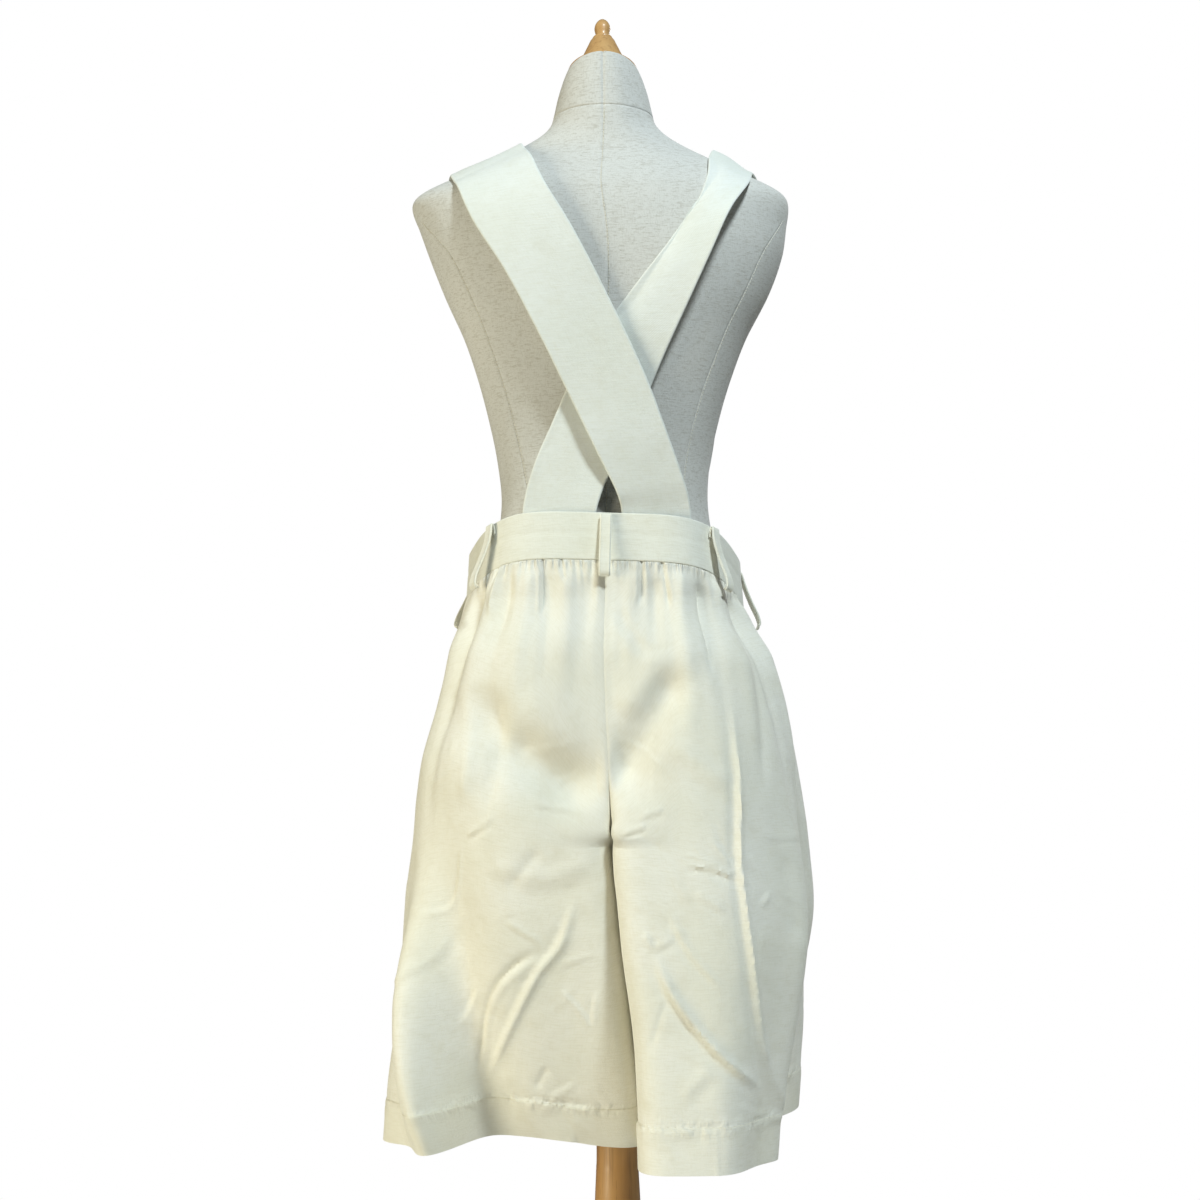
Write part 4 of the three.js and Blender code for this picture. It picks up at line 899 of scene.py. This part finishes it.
def make_panel(side, face):
    """One of the four panels of the shorts, and the line of its hem's stitches."""
    grid, cut, seam = panel_grid(side, face, *PANEL_STEPS[face])
    grid = shifted(grid)
    outward = (grid - (LEG_MIDDLE_X[side], 0, 0)) * (1, 1, 0)
    panel = cloth_piece(f"{face}_panel_{side}", "cloth", f"{face}_{side}", grid, outward, CLOTH_WALL,
                        CLOTH, cut, seam)
    width, length = PANEL_CUT[face]
    min(area_of(grid), width * length)
    normals = surface_normals(grid, outward)
    columns = np.arange(3, grid.shape[1] - 3)
    row = np.abs(cut[:, columns, 1] - HEM_TURNING).argmin(axis=0)
    hem_lines.append(grid[row, columns] + normals[row, columns] * 0.15)


for face in TURN:
    for side in SIGN:
        make_panel(side, face)


# ---------- the waistband ----------
THINNEST = 0.12                  # share of its thickness that a strip keeps at its very edge


def band_piece(name, start, end, steps, node, seed):
    """A stretch of the waistband: doubled and stiffened cloth with rolled edges."""
    rng = np.random.default_rng(seed)
    top, foot = (joined(*oval_stretch(oval, start, end, steps)) for oval in (BAND_TOP, BAND_FOOT))
    t = (1 - np.cos(np.linspace(0, math.pi, 31)))[:, None] / 2
    face = joined(lerp(top[:, 0], foot[:, 0], t), lerp(top[:, 1], foot[:, 1], t),
                  lerp(band_top_z(*top.T), band_foot_z(*foot.T), t))
    outward = face * (1, 1, 0)
    normals = surface_normals(face, outward)
    across = distances(face, 1)
    down = t * BAND_HEIGHT
    ends = smooth(across / 12) * smooth((across[:, -1:] - across) / 12)
    waves = 0.45 * value_noise(rng, across, np.broadcast_to(down, across.shape), 26) * ends
    rolled = rolled_edge(np.minimum(down, BAND_HEIGHT - down), 1.4)
    waves = waves - 0.5 * bell(down - BAND_LINE, 1.6) - (1 - rolled) * 1.3
    face = shifted(face + normals * waves[..., None])
    thickness = BAND_WALL * np.maximum(rolled, THINNEST)
    cut = joined(across, BAND_HEIGHT - down)
    piece = cloth_piece(name, "band", node, face, outward, thickness, BAND, cut)


lap_turn = math.acos((BAND_LAP_X / BAND_TOP["side"]) ** (BAND_SQUARE["front"][0] / 2))
TURN_GAP = SEWN_GAP / 200        # half the sewn gap, as an angle round the waist
band_piece("waistband_back", -TURN_GAP, -math.pi + TURN_GAP, 240, "band_back", 5)
band_piece("waistband_front_right", TURN_GAP, lap_turn - TURN_GAP, 110, "band_front_right", 6)
band_piece("waistband_front_left", lap_turn + TURN_GAP, math.pi - TURN_GAP, 130, "band_front_left", 7)


# ---------- the straps ----------
# Stations from the end behind the back of the band, over the shoulder, to the end behind the front
# of the band: the strap's middle, its width, how much the way across it (+X) turns to +Y and +Z,
# and how far its edge nearer the neck rolls back, as an angle.
STRAP_TABLE = "at x y z width across_y across_z roll"
STRAPS = {
    "left": table(STRAP_TABLE, [
        (0, 51, -82, 985, 68, 0.12, 0, 0), (1, 50.5, -83, 1024, 68, 0.1, 0, 0),
        (2, 43.5, -90, 1052, 66, 0.1, 0, 0), (3, 24.5, -98, 1097, 71, 0.05, 0, 0),
        (4, 5, -102, 1142, 75, 0, 0, 0), (5, -27.5, -107, 1210, 76, 0, 0, 0),
        (6, -60.5, -107, 1274, 77, -0.1, 0, 0), (7, -90, -96, 1324, 79, -0.2, 0.1, 0),
        (8, -105, -72, 1360, 79, -0.15, 0.3, 0), (9, -112, -40, 1375, 79, 0, 0.48, 0),
        (10, -113, -6, 1380, 79, 0, 0.52, 0), (11, -113, 28, 1366, 79, 0, 0.45, 0),
        (12, -108, 62, 1335, 78, 0.15, 0.2, 0), (13, -100, 92, 1290, 78, 0.3, 0.1, 0),
        (14, -92, 115, 1235, 77, 0.25, 0, 0), (15, -86, 122, 1190, 76, 0.2, 0, 0),
        (16, -78, 114, 1110, 73, 0.15, 0, 0), (17, -63, 97, 1025, 70, 0.15, 0, 0),
        (18, -54, 79.5, 958, 66, 0.26, 0, 0), (19, -53, 79, 918, 66, 0.26, 0, 0)]),
    "right": table(STRAP_TABLE, [
        (0, -45, -82, 985, 72, -0.1, 0, 0), (1, -44, -83, 1024, 72, -0.08, 0, 0),
        (2, -34, -84.5, 1060, 71.5, -0.04, 0, 0), (3, -16, -86.5, 1098, 73, 0, 0, 0),
        (4, 3.5, -90.5, 1139, 74.5, 0, 0, 0), (5, 23, -95.5, 1176, 68, 0, 0, 0.1),
        (6, 44, -99.5, 1211, 59, -0.04, 0, 0.3), (7, 79.5, -103, 1271, 47.5, -0.2, 0, 0.5),
        (8, 104, -96, 1316, 42, -0.26, 0, 0.6), (9, 123, -70, 1352, 44, -0.2, -0.35, 0.5),
        (10, 129, -38, 1375, 47, -0.1, -0.65, 0.4), (11, 134, -8, 1384, 50, 0, -0.8, 0.3),
        (12, 133, 26, 1370, 58, 0, -0.6, 0.2), (13, 125, 60, 1334, 68, -0.3, -0.3, 0.1),
        (14, 112, 90, 1290, 74, -0.4, 0, 0), (15, 99, 115, 1235, 76, -0.25, 0, 0),
        (16, 91, 122, 1190, 75, -0.2, 0, 0), (17, 80, 114, 1110, 73, -0.15, 0, 0),
        (18, 63, 97, 1025, 70, -0.15, 0, 0), (19, 54, 80.5, 958, 66, -0.26, 0, 0),
        (20, 53, 80, 918, 66, -0.26, 0, 0)]),
}
STRAP_WALL = 2
STRAP_CLEARANCE = {"side": 1.6, "shoulder": 3.2}
SHOULDER_Z = 1345


def strap_middle(side, steps, columns):
    """The strap's middle layer as rows across it, laid over the form."""
    rows = STRAPS[side]
    neck_edge = -SIGN[side]
    last = rows["at"][-1]
    at = np.linspace(0, last, steps + 1)

    def middle(place):
        return joined(*(column(rows, name, place, "at") for name in "xyz"))

    along = unit(middle(np.minimum(at + 0.1, last)) - middle(np.maximum(at - 0.1, 0)))
    across = joined(1, *(column(rows, "across_" + name, at, "at") for name in "yz"))
    across = unit(across - along * np.einsum("ij,ij->i", across, along)[:, None])
    out = unit(np.cross(across, along))
    half = column(rows, "width", at, "at")[:, None, None] / 2
    roll = np.maximum(column(rows, "roll", at, "at"), 0.001)[:, None, None]
    share = np.sin(np.linspace(-math.pi / 2, math.pi / 2, columns + 1))[None, :, None]
    centre, across, out = middle(at)[:, None], across[:, None], out[:, None]
    bend = roll * np.abs(share)
    rolled = (centre + across * neck_edge * half * np.sin(bend) / roll
              - out * half * (1 - np.cos(bend)) / roll)
    points = np.where(share * neck_edge > 0, rolled, centre + across * half * share)
    clearance = lerp(STRAP_CLEARANCE["side"], STRAP_CLEARANCE["shoulder"],
                     smooth((points[..., 2] - SHOULDER_Z) / 25))
    return clear_of_form(points, clearance), share[..., 0] * half[..., 0], half[..., 0]


def make_strap(side):
    """A strap of doubled cloth, a little fuller in its middle, with rolled edges."""
    middle, across, half = strap_middle(side, 300, 34)
    normals = surface_normals(middle, form_gap(middle)[1])
    along = distances(middle, 0)
    rng = np.random.default_rng(3 if side == "left" else 4)
    waves = 0.5 * value_noise(rng, along, np.broadcast_to(across, along.shape) + 60, 45)
    edge = half - np.abs(across)
    rolled = rolled_edge(edge, 1.5)
    ridge = 0.35 * bell(edge - 2.2, 1.6) + 0.3 * (1 - (across / half) ** 2)
    lift = (waves + ridge)[..., None]
    thickness = STRAP_WALL * np.maximum(rolled, THINNEST)[..., None]
    outer = shifted(middle + normals * (lift * 0.6 + thickness / 2))
    cut = joined(across + half, along)
    strap = cloth_piece(f"shoulder_strap_{side}", "strap", f"strap_{side}", outer, normals,
                        thickness[..., 0], COOL_LIT_STRAP, cut)


for side in STRAPS:
    make_strap(side)


# ---------- belt loops ----------
LOOP_WIDTH = 11.5
LOOP_WALL = 1.6
LOOP_BOW = 12
# Side view of a belt loop: distance out of the band's face, and height above its foot.
LOOP_PATH = np.array([
    (1.4, 34), (1.9, 40.5), (3, 44), (4.8, 42.5), (6.2, 34), (8, 22), (10, 8), (LOOP_BOW, -4),
    (LOOP_BOW + 0.3, -12), (LOOP_BOW - 1.1, -15.8), (LOOP_BOW - 3.3, -16.8)])
# Where each loop's foot and top sit round the band, in degrees, and how much further out the cloth
# pushes its lower end.
LOOPS = {
    "loop_back": (-90, -90, 0), "loop_back_left": (-128, -119, 5), "loop_back_right": (-57.5, -65, 5),
    "loop_side_left": (164, 164, 4.5), "loop_side_right": (6, 6, 4)}
loop_edges, loop_tacks = [], []


def make_loop(node, foot_turn, top_turn, flare):
    """A belt loop: a narrow folded strip, bowed out from the band and curled in at its foot."""
    path = smooth_path(LOOP_PATH, 9)
    path[:, 0] += flare * smooth((30 - path[:, 1]) / 50)
    turns = np.radians(lerp(foot_turn, top_turn, smooth((path[:, 1] + 17) / 58)))
    origin, along, out, up = (np.array(ways)[:, None] for ways in zip(*map(band_frame, turns)))
    way = unit(np.gradient(path, axis=0))
    across = np.sin(np.linspace(-math.pi / 2, math.pi / 2, 15)) * LOOP_WIDTH / 2
    edge = LOOP_WIDTH / 2 - np.abs(across)
    crown = 0.25 * bell(edge - 1.5, 0.9)
    middle = (origin + path[:, None, :1] * out + path[:, None, 1:] * up
              + across[None, :, None] * along.mean(axis=0))
    normals = way[:, None, 1:] * out - way[:, None, :1] * up
    depth = (LOOP_WALL / 2 * np.maximum(rolled_edge(edge, 0.9), 0.15) + crown)[None, :, None]
    outer = shifted(middle + normals * depth)
    length = lengths_along(path)
    cut = joined(across[None] + LOOP_WIDTH / 2, length[:, None])
    cloth_piece(node.replace("loop", "belt_loop"), "cloth", node, outer, normals, depth[..., 0] * 2,
                LOOP_CLOTH, cut)
    for side in (-1, 1):
        column_at = np.abs(across - side * (LOOP_WIDTH / 2 - 1.7)).argmin()
        loop_edges.append((outer + normals * 0.1)[4:-3, column_at])
    for row in (4, 5, len(path) // 4, len(path) // 3):
        loop_tacks.append((outer + normals * 0.15)[row, 2:-2])


for node, places in LOOPS.items():
    make_loop(node, *places)


# ---------- turned pieces and the button ----------
def ring_mesh(name, rings, finish, node, slot, sharp=40):
    """A closed body from rings of points, its ends drawn together to a point."""
    points = rings.reshape(-1, 3)
    faces = grid_faces(*rings.shape[:2], ring=True)
    finish_piece(mesh_object(name, points, faces, finish, np.zeros((len(points), 2)), sharp), slot, node)


def turned_rings(runs, columns=96, steps=6):
    """Rings of a turned piece; each run of its profile (radius, height) is smooth."""
    profile = np.vstack([smooth_path(run, steps) if len(run) > 2 else np.array(run, float) for run in runs])
    profile[:, 0] = np.maximum(profile[:, 0], 0.02)
    angle = np.linspace(0, 2 * math.pi, columns, endpoint=False)
    radius, height = profile[:, 0, None], profile[:, 1, None]
    return joined(radius * np.cos(angle), radius * np.sin(angle), height)


BUTTON_RADIUS = 9
BUTTON_HOLE = 1.5                # half the distance between two of its holes


def make_button():
    """A dished button on the band's front, with two stitches across it."""
    origin, along, out, up = band_frame(math.pi / 2)
    rim = BUTTON_RADIUS
    rings = turned_rings([
        [(0, 0), (rim - 1.2, 0)],
        [(rim - 0.6, 0.1), (rim, 0.9), (rim, 1.7), (rim - 0.5, 2.6), (rim - 1.3, 3.0)],
        [(rim - 2.0, 2.9), (rim - 2.8, 2.3), (rim - 4, 2.0)], [(rim - 5, 1.95), (0, 1.9)]], 48)
    ways = np.array([along, up, out])
    place = origin + up * BAND_HEIGHT / 2 + out * SEAM_GAP * 2
    ring_mesh("button", shifted(rings @ ways + place), BUTTON, "band_button", "button")
    for side in (-1, 1):
        ends = [place + along * side * BUTTON_HOLE + up * end * BUTTON_HOLE * 1.2 + out * 2.2
                for end in (-1, 1)]
        lift = (ends[0] + ends[1]) / 2 + out * 0.7
        loop_tacks.append(shifted(smooth_path([ends[0], lift, ends[1]], 4)))


make_button()


# ---------- the dress form ----------
# Princess seams: their place as a share of the form's half width, down the back and down the front.
PRINCESS = table("z back front", [
    (1474, 0.72, 0.72), (1400, 0.95, 0.7), (1353, 0.985, 0.62), (1325, 0.975, 0.6), (1286, 0.885, 0.56),
    (1252, 0.857, 0.53), (1193, 0.832, 0.56), (1139, 0.792, 0.55), (1098, 0.768, 0.52), (1045, 0.728, 0.5),
    (985, 0.62, 0.5), (905, 0.6, 0.52), (850, 0.604, 0.55), (773, 0.62, 0.56)])
NECK_SEAM_Z = 1431
ARMHOLE_Z = 1328
SEAM_STEPS = np.array([-4.5, -2.2, -1.1, -0.4, 0, 0.4, 1.1, 2.2, 4.5])


def form_rings():
    """The form's cover as rings, with close columns along its seams, and the seams' middles."""
    heights = np.unique(np.concatenate([
        form_low[2] + np.array([0, 0.4, 1.2, 2.6, 4.5]), np.linspace(form_low[2] + 8, 1340, 118),
        np.linspace(1341, 1428, 46), NECK_SEAM_Z + np.array([-1.6, -0.8, -0.3, 0, 0.3, 0.8, 1.6]),
        np.linspace(1434, 1471, 16), NECK_TOP_Z - np.array([2, 1.2, 0.6, 0.2, 0])]))
    z = heights[:, None]
    quarter = math.pi / 2
    inset = 2.2 * (1 - rolled_edge(z - form_low[2], 4.5)) + 1.6 * (1 - rolled_edge(NECK_TOP_Z - z, 2))
    half = column(FORM, "half", z) - inset
    depths = {name: column(FORM, name, z) - inset for name in TURN}
    square = column(FORM, "square", z)

    def seam_angle(face):
        share = column(PRINCESS, face, z)
        return np.arccos(clamp01(share) ** (square / 2))

    back, front = seam_angle("back"), seam_angle("front")
    zero = np.zeros_like(z)
    stops = [zero, front, zero + quarter, math.pi - front, zero + math.pi, math.pi + back,
             zero + 3 * quarter, 2 * math.pi - back]
    around = np.maximum(half, 30)
    angles, notches, middles = [], [], []
    for k, stop in enumerate(stops):
        following = stops[k + 1] if k < 7 else zero + 2 * math.pi
        near = SEAM_STEPS / around
        middles.append(len(SEAM_STEPS) // 2 + sum(a.shape[1] for a in angles))
        angles.append(stop + near)
        notches.append(np.broadcast_to(bell(SEAM_STEPS, 1.0), (len(z), len(SEAM_STEPS))))
        share = np.linspace(0, 1, 20)[1:-1]
        angles.append(lerp(stop + near[:, -1:], following + near[:, :1], share))
        notches.append(np.zeros((len(z), len(share))))
    angle = np.concatenate(angles, axis=1)
    notch = np.concatenate(notches, axis=1)
    depth = np.where(np.sin(angle) < 0, depths["back"], depths["front"])
    ring_notch = 0.8 * bell(z - NECK_SEAM_Z, 0.7)
    fade = np.ones_like(angle)
    for k in (5, 7):
        fade[:, middles[k] - 4:middles[k] + 5] *= smooth((ARMHOLE_Z - z) / 10)
    scale = 1 - (notch * fade + ring_notch) / around
    rng = np.random.default_rng(8)
    scale = scale + 0.5 / around * value_noise(rng, angle * 120, np.broadcast_to(z, angle.shape), 48)
    x = column(FORM, "x", z) + half * scale * signed_power(np.cos(angle), 2 / square)
    y = depth * scale * signed_power(np.sin(angle), 2 / square)
    lean = NECK_TILT * clamp01((z - NECK_Z) / (NECK_TOP_Z - NECK_Z))
    return joined(x, y, z - np.tan(lean) * (y - NECK_CENTRE_Y)), middles


rings, seam_columns = form_rings()
rings = shifted(rings)
ends = np.concatenate([rings[:1] * 0 + rings[:1].mean(axis=1, keepdims=True), rings,
                       rings[-1:] * 0 + rings[-1:].mean(axis=1, keepdims=True)])
ring_mesh("form_cover", ends, LINEN, "form_torso", "linen", 60)
seam_threads = []
for k in (5, 6, 7):
    line = rings[:, seam_columns[k] + 2]
    line = line[(line[:, 2] < (ARMHOLE_Z - 6 if k != 6 else NECK_SEAM_Z - 6)) & (line[:, 2] > 1000)]
    seam_threads.append(line + unit((line - (GARMENT_X, 0, 0)) * (1, 1, 0)) * 0.35)


# ---------- neck and stand ----------
def leaning(points):
    """Turns a piece of the neck's top to the neck's lean and sets it there."""
    cos, sin = math.cos(-NECK_TILT), math.sin(-NECK_TILT)
    turn = np.array([(1, 0, 0), (0, cos, -sin), (0, sin, cos)])
    return shifted(points @ turn.T + (NECK_X, NECK_CENTRE_Y, NECK_TOP_Z + SEAM_GAP))


CAP_THICKNESS = 3.3              # of the cap under the finial, with the gap above it


def make_neck():
    """The wooden cap on the neck and the finial on it."""
    cap = turned_rings([[(0, 0), (34.6, 0)], [(35.1, 0.2), (35.5, 0.9), (35.5, 2), (34.9, 2.7), (33.6, 3)],
                        [(32, 3), (0, 3.1)]], 96)
    ring_mesh("neck_plate", leaning(cap), FINIAL_WOOD, "neck_cap", "wood")
    finial = turned_rings([
        [(0, 0), (25.6, 0)], [(26, 0.3), (26, 2.4), (25.4, 5.6)],
        [(24, 9), (21.5, 15), (19, 21), (16.6, 27), (14.6, 32), (12.9, 36.2), (11.4, 37.3)],
        [(10, 37.6), (10.5, 38.2), (10.8, 39.5), (10.4, 40.8)],
        [(9.2, 41.3), (7.4, 41.7), (6.7, 43), (6.6, 45), (6.9, 47.2), (7.7, 50.2), (8.2, 53.3),
         (7.6, 57), (6.1, 60.2), (4.4, 62.4), (2.2, 64.3), (0, 65)]], 80) + (0, 0, CAP_THICKNESS)
    ring_mesh("neck_finial", leaning(finial), FINIAL_WOOD, "finial", "wood")


def make_stand():
    """The turned pole, from the base to the form's underside, and the round base."""
    top = form_low[2] - SEAM_GAP - pole_low[2]
    pole = turned_rings([
        [(0, 0), (33, 0)], [(34.4, 0.4), (35.8, 4), (35.8, 9), (33.6, 14.5), (30, 20)],
        [(26.6, 24.6), (24.4, 30), (24.2, 38), (26, 50), (29.6, 72), (32.6, 96), (34.8, 122), (35, 140),
         (33.8, 166), (30.6, 194), (26.8, 220), (25, 235)],
        [(26.4, 236.5), (28.8, 239), (29.8, 243), (30, 247), (29.8, 251), (28.8, 255), (26.2, 257.5)],
        [(24.8, 259), (23.6, 275), (22.8, 295), (21.6, 320), (21, 345), (21, 480), (21, 640),
         (21.6, 672), (23.4, 696)],
        [(26, 702), (31, 709), (33.2, 714), (34, 719)], [(34, 721), (34, top)], [(33, top), (0, top)]], 96)
    ring_mesh("turned_pole", pole + (0, 0, pole_low[2]), WOOD, "stand_pole", "wood")
    rim = (base_high[0] - base_low[0]) / 2
    thick = base_high[2]
    base = turned_rings([
        [(0, 0), (rim - 5, 0)],
        [(rim - 4, 0.3), (rim - 1, 2), (rim, 6), (rim, 12), (rim - 1.6, 17), (rim - 6, 22)],
        [(rim - 8, 22.6), (rim - 10, 24.4), (rim - 40, 29.2), (120, 31.4), (90, 33.4), (66, 36.6)],
        [(58, 38.4), (53, 40), (50.4, 43), (49.6, thick - 0.6)], [(48.6, thick), (0, thick)]], 128)
    ring_mesh("turned_base", base, WOOD, "stand_base", "wood")


make_neck()
make_stand()


# ---------- stitches ----------
def stitch_tree():
    """Lays small rounded stitches along lines, evenly spaced and a little uneven in length."""
    tree = bpy.data.node_groups.new("stitches", "GeometryNodeTree")
    tree.interface.new_socket("Lines", in_out="INPUT", socket_type="NodeSocketGeometry")
    for name, kind in (("Spacing", "Float"), ("Length", "Float"), ("Thickness", "Float"), ("Seed", "Int"),
                       ("Thread", "Material")):
        tree.interface.new_socket(name, in_out="INPUT", socket_type="NodeSocket" + kind)
    tree.interface.new_socket("Stitches", in_out="OUTPUT", socket_type="NodeSocketGeometry")

    def first(kind, settings=None, inputs=None):
        """The first output of a new node."""
        return add_node(tree, kind, settings, inputs).outputs[0]

    given = add_node(tree, "NodeGroupInput").outputs
    curve = first("GeometryNodeMeshToCurve", inputs={"Mesh": given["Lines"]})
    spaced = first("GeometryNodeResampleCurve", {"mode": "LENGTH"},
                   {"Curve": curve, "Length": given["Spacing"]})
    bead = first("GeometryNodeMeshUVSphere", inputs={"Segments": 6, "Rings": 4, "Radius": 0.5})
    uneven = add_node(tree, "FunctionNodeRandomValue", {"data_type": "FLOAT"},
                      {"Min": 0.85, "Max": 1.1, "Seed": given["Seed"]})
    uneven = next(socket for socket in uneven.outputs if socket.enabled)
    length = first("ShaderNodeMath", {"operation": "MULTIPLY"}, {0: given["Length"], 1: uneven})
    size = first("ShaderNodeCombineXYZ", inputs={0: length, 1: given["Thickness"], 2: given["Thickness"]})
    tangent = first("GeometryNodeInputTangent")
    turned = first("FunctionNodeAlignRotationToVector", {"axis": "X"}, {"Vector": tangent})
    laid = first("GeometryNodeInstanceOnPoints", inputs={
        "Points": spaced, "Instance": bead, "Rotation": turned, "Scale": size})
    real = first("GeometryNodeRealizeInstances", inputs={"Geometry": laid})
    soft = first("GeometryNodeSetShadeSmooth", inputs={"Geometry": real})
    coloured = first("GeometryNodeSetMaterial", inputs={"Geometry": soft, "Material": given["Thread"]})
    add_node(tree, "NodeGroupOutput", inputs={"Stitches": coloured})
    return tree


STITCHES = stitch_tree()


def sew(name, lines, spacing, length, thickness, thread=THREAD, slot="cloth"):
    """Stitches along lines of points in millimetres, as one plain mesh."""
    mesh = bpy.data.meshes.new(name)
    points = np.vstack(lines) * MM
    edges, start = [], 0
    for line in lines:
        edges += [(start + k, start + k + 1) for k in range(len(line) - 1)]
        start += len(line)
    mesh.from_pydata(points.tolist(), edges, [])
    seed_object = linked(bpy.data.objects.new(name, mesh))
    modifier = seed_object.modifiers.new("stitches", "NODES")
    modifier.node_group = STITCHES
    values = {"Spacing": spacing * MM, "Length": length * MM, "Thickness": thickness * MM, "Seed": 7,
              "Thread": thread}
    for item in STITCHES.interface.items_tree:
        if item.in_out == "INPUT" and item.name in values:
            modifier[item.identifier] = values[item.name]
    graph = bpy.context.evaluated_depsgraph_get()
    sewn = bpy.data.meshes.new_from_object(seed_object.evaluated_get(graph))
    seed_object.modifiers.remove(modifier)
    seed_object.data = sewn
    finish_piece(seed_object, slot)


sew("hem_stitches", hem_lines, 7, 1.6, 0.45)
sew("belt_loop_stitches", loop_edges, 2.4, 1.9, 0.4)
sew("bar_tacks", loop_tacks, 0.8, 1.0, 0.55)
sew("form_seam_stitches", seam_threads, 3.2, 2.7, 0.75, TAPE, "linen")


# ---------- floor and light ----------
def make_floor():
    radius, thickness, rows, columns = 1250, 8, 24, 96
    rings = np.linspace(0.01, 1, rows)[:, None] * radius
    angle = np.linspace(0, 2 * math.pi, columns, endpoint=False)
    points = joined(rings * np.cos(angle), rings * np.sin(angle), 0 * rings)
    under = points[::-1] - (0, 0, thickness)
    mesh_object("floor", np.concatenate([points, under]).reshape(-1, 3),
                         grid_faces(rows * 2, columns, ring=True), floor_finish("pale_floor"))


def soft_light(name, place, aim, size, power, colour):
    data = bpy.data.lights.new(name, "AREA")
    data.shape = "DISK"
    data.size = size
    data.energy = power
    data.color = colour
    light = linked(bpy.data.objects.new(name, data))
    light.location = place
    way = np.array(aim) - np.array(place)
    light.rotation_euler = (math.atan2(math.hypot(way[0], way[1]), -way[2]), 0,
                            math.atan2(way[1], way[0]) - math.pi / 2)


def pale_world():
    """A pale room: bright where it is seen, softer where it lights the piece."""
    world = bpy.data.worlds.new("pale_room")
    world.use_nodes = True
    bpy.context.scene.world = world
    tree = world.node_tree
    seen = tree.nodes["Background"]
    seen.inputs["Color"].default_value = (1, 1, 1, 1)
    seen.inputs["Strength"].default_value = 1.0
    lit = add_node(tree, "ShaderNodeBackground", None, {"Color": (0.9, 1, 1, 1), "Strength": 0.09})
    camera_ray = add_node(tree, "ShaderNodeLightPath").outputs[0]
    mix = add_node(tree, "ShaderNodeMixShader", None,
                   {0: camera_ray, 1: lit.outputs[0], 2: seen.outputs[0]})
    tree.links.new(mix.outputs[0], tree.nodes["World Output"].inputs["Surface"])


make_floor()
middle = (GARMENT_X * MM, 0, 0.95)
soft_light("key", (1.08, -2.25, 4.15), middle, 0.6, 150, (0.84, 0.95, 0.98))
soft_light("warm_fill", (-2.3, -1.5, 0.75), middle, 1.5, 52, (1, 0.93, 0.7))
soft_light("far_side", (1.2, 2.3, 1.9), middle, 1.8, 24, (1, 1, 1))
pale_world()
bpy.context.scene.view_settings.view_transform = "Standard"
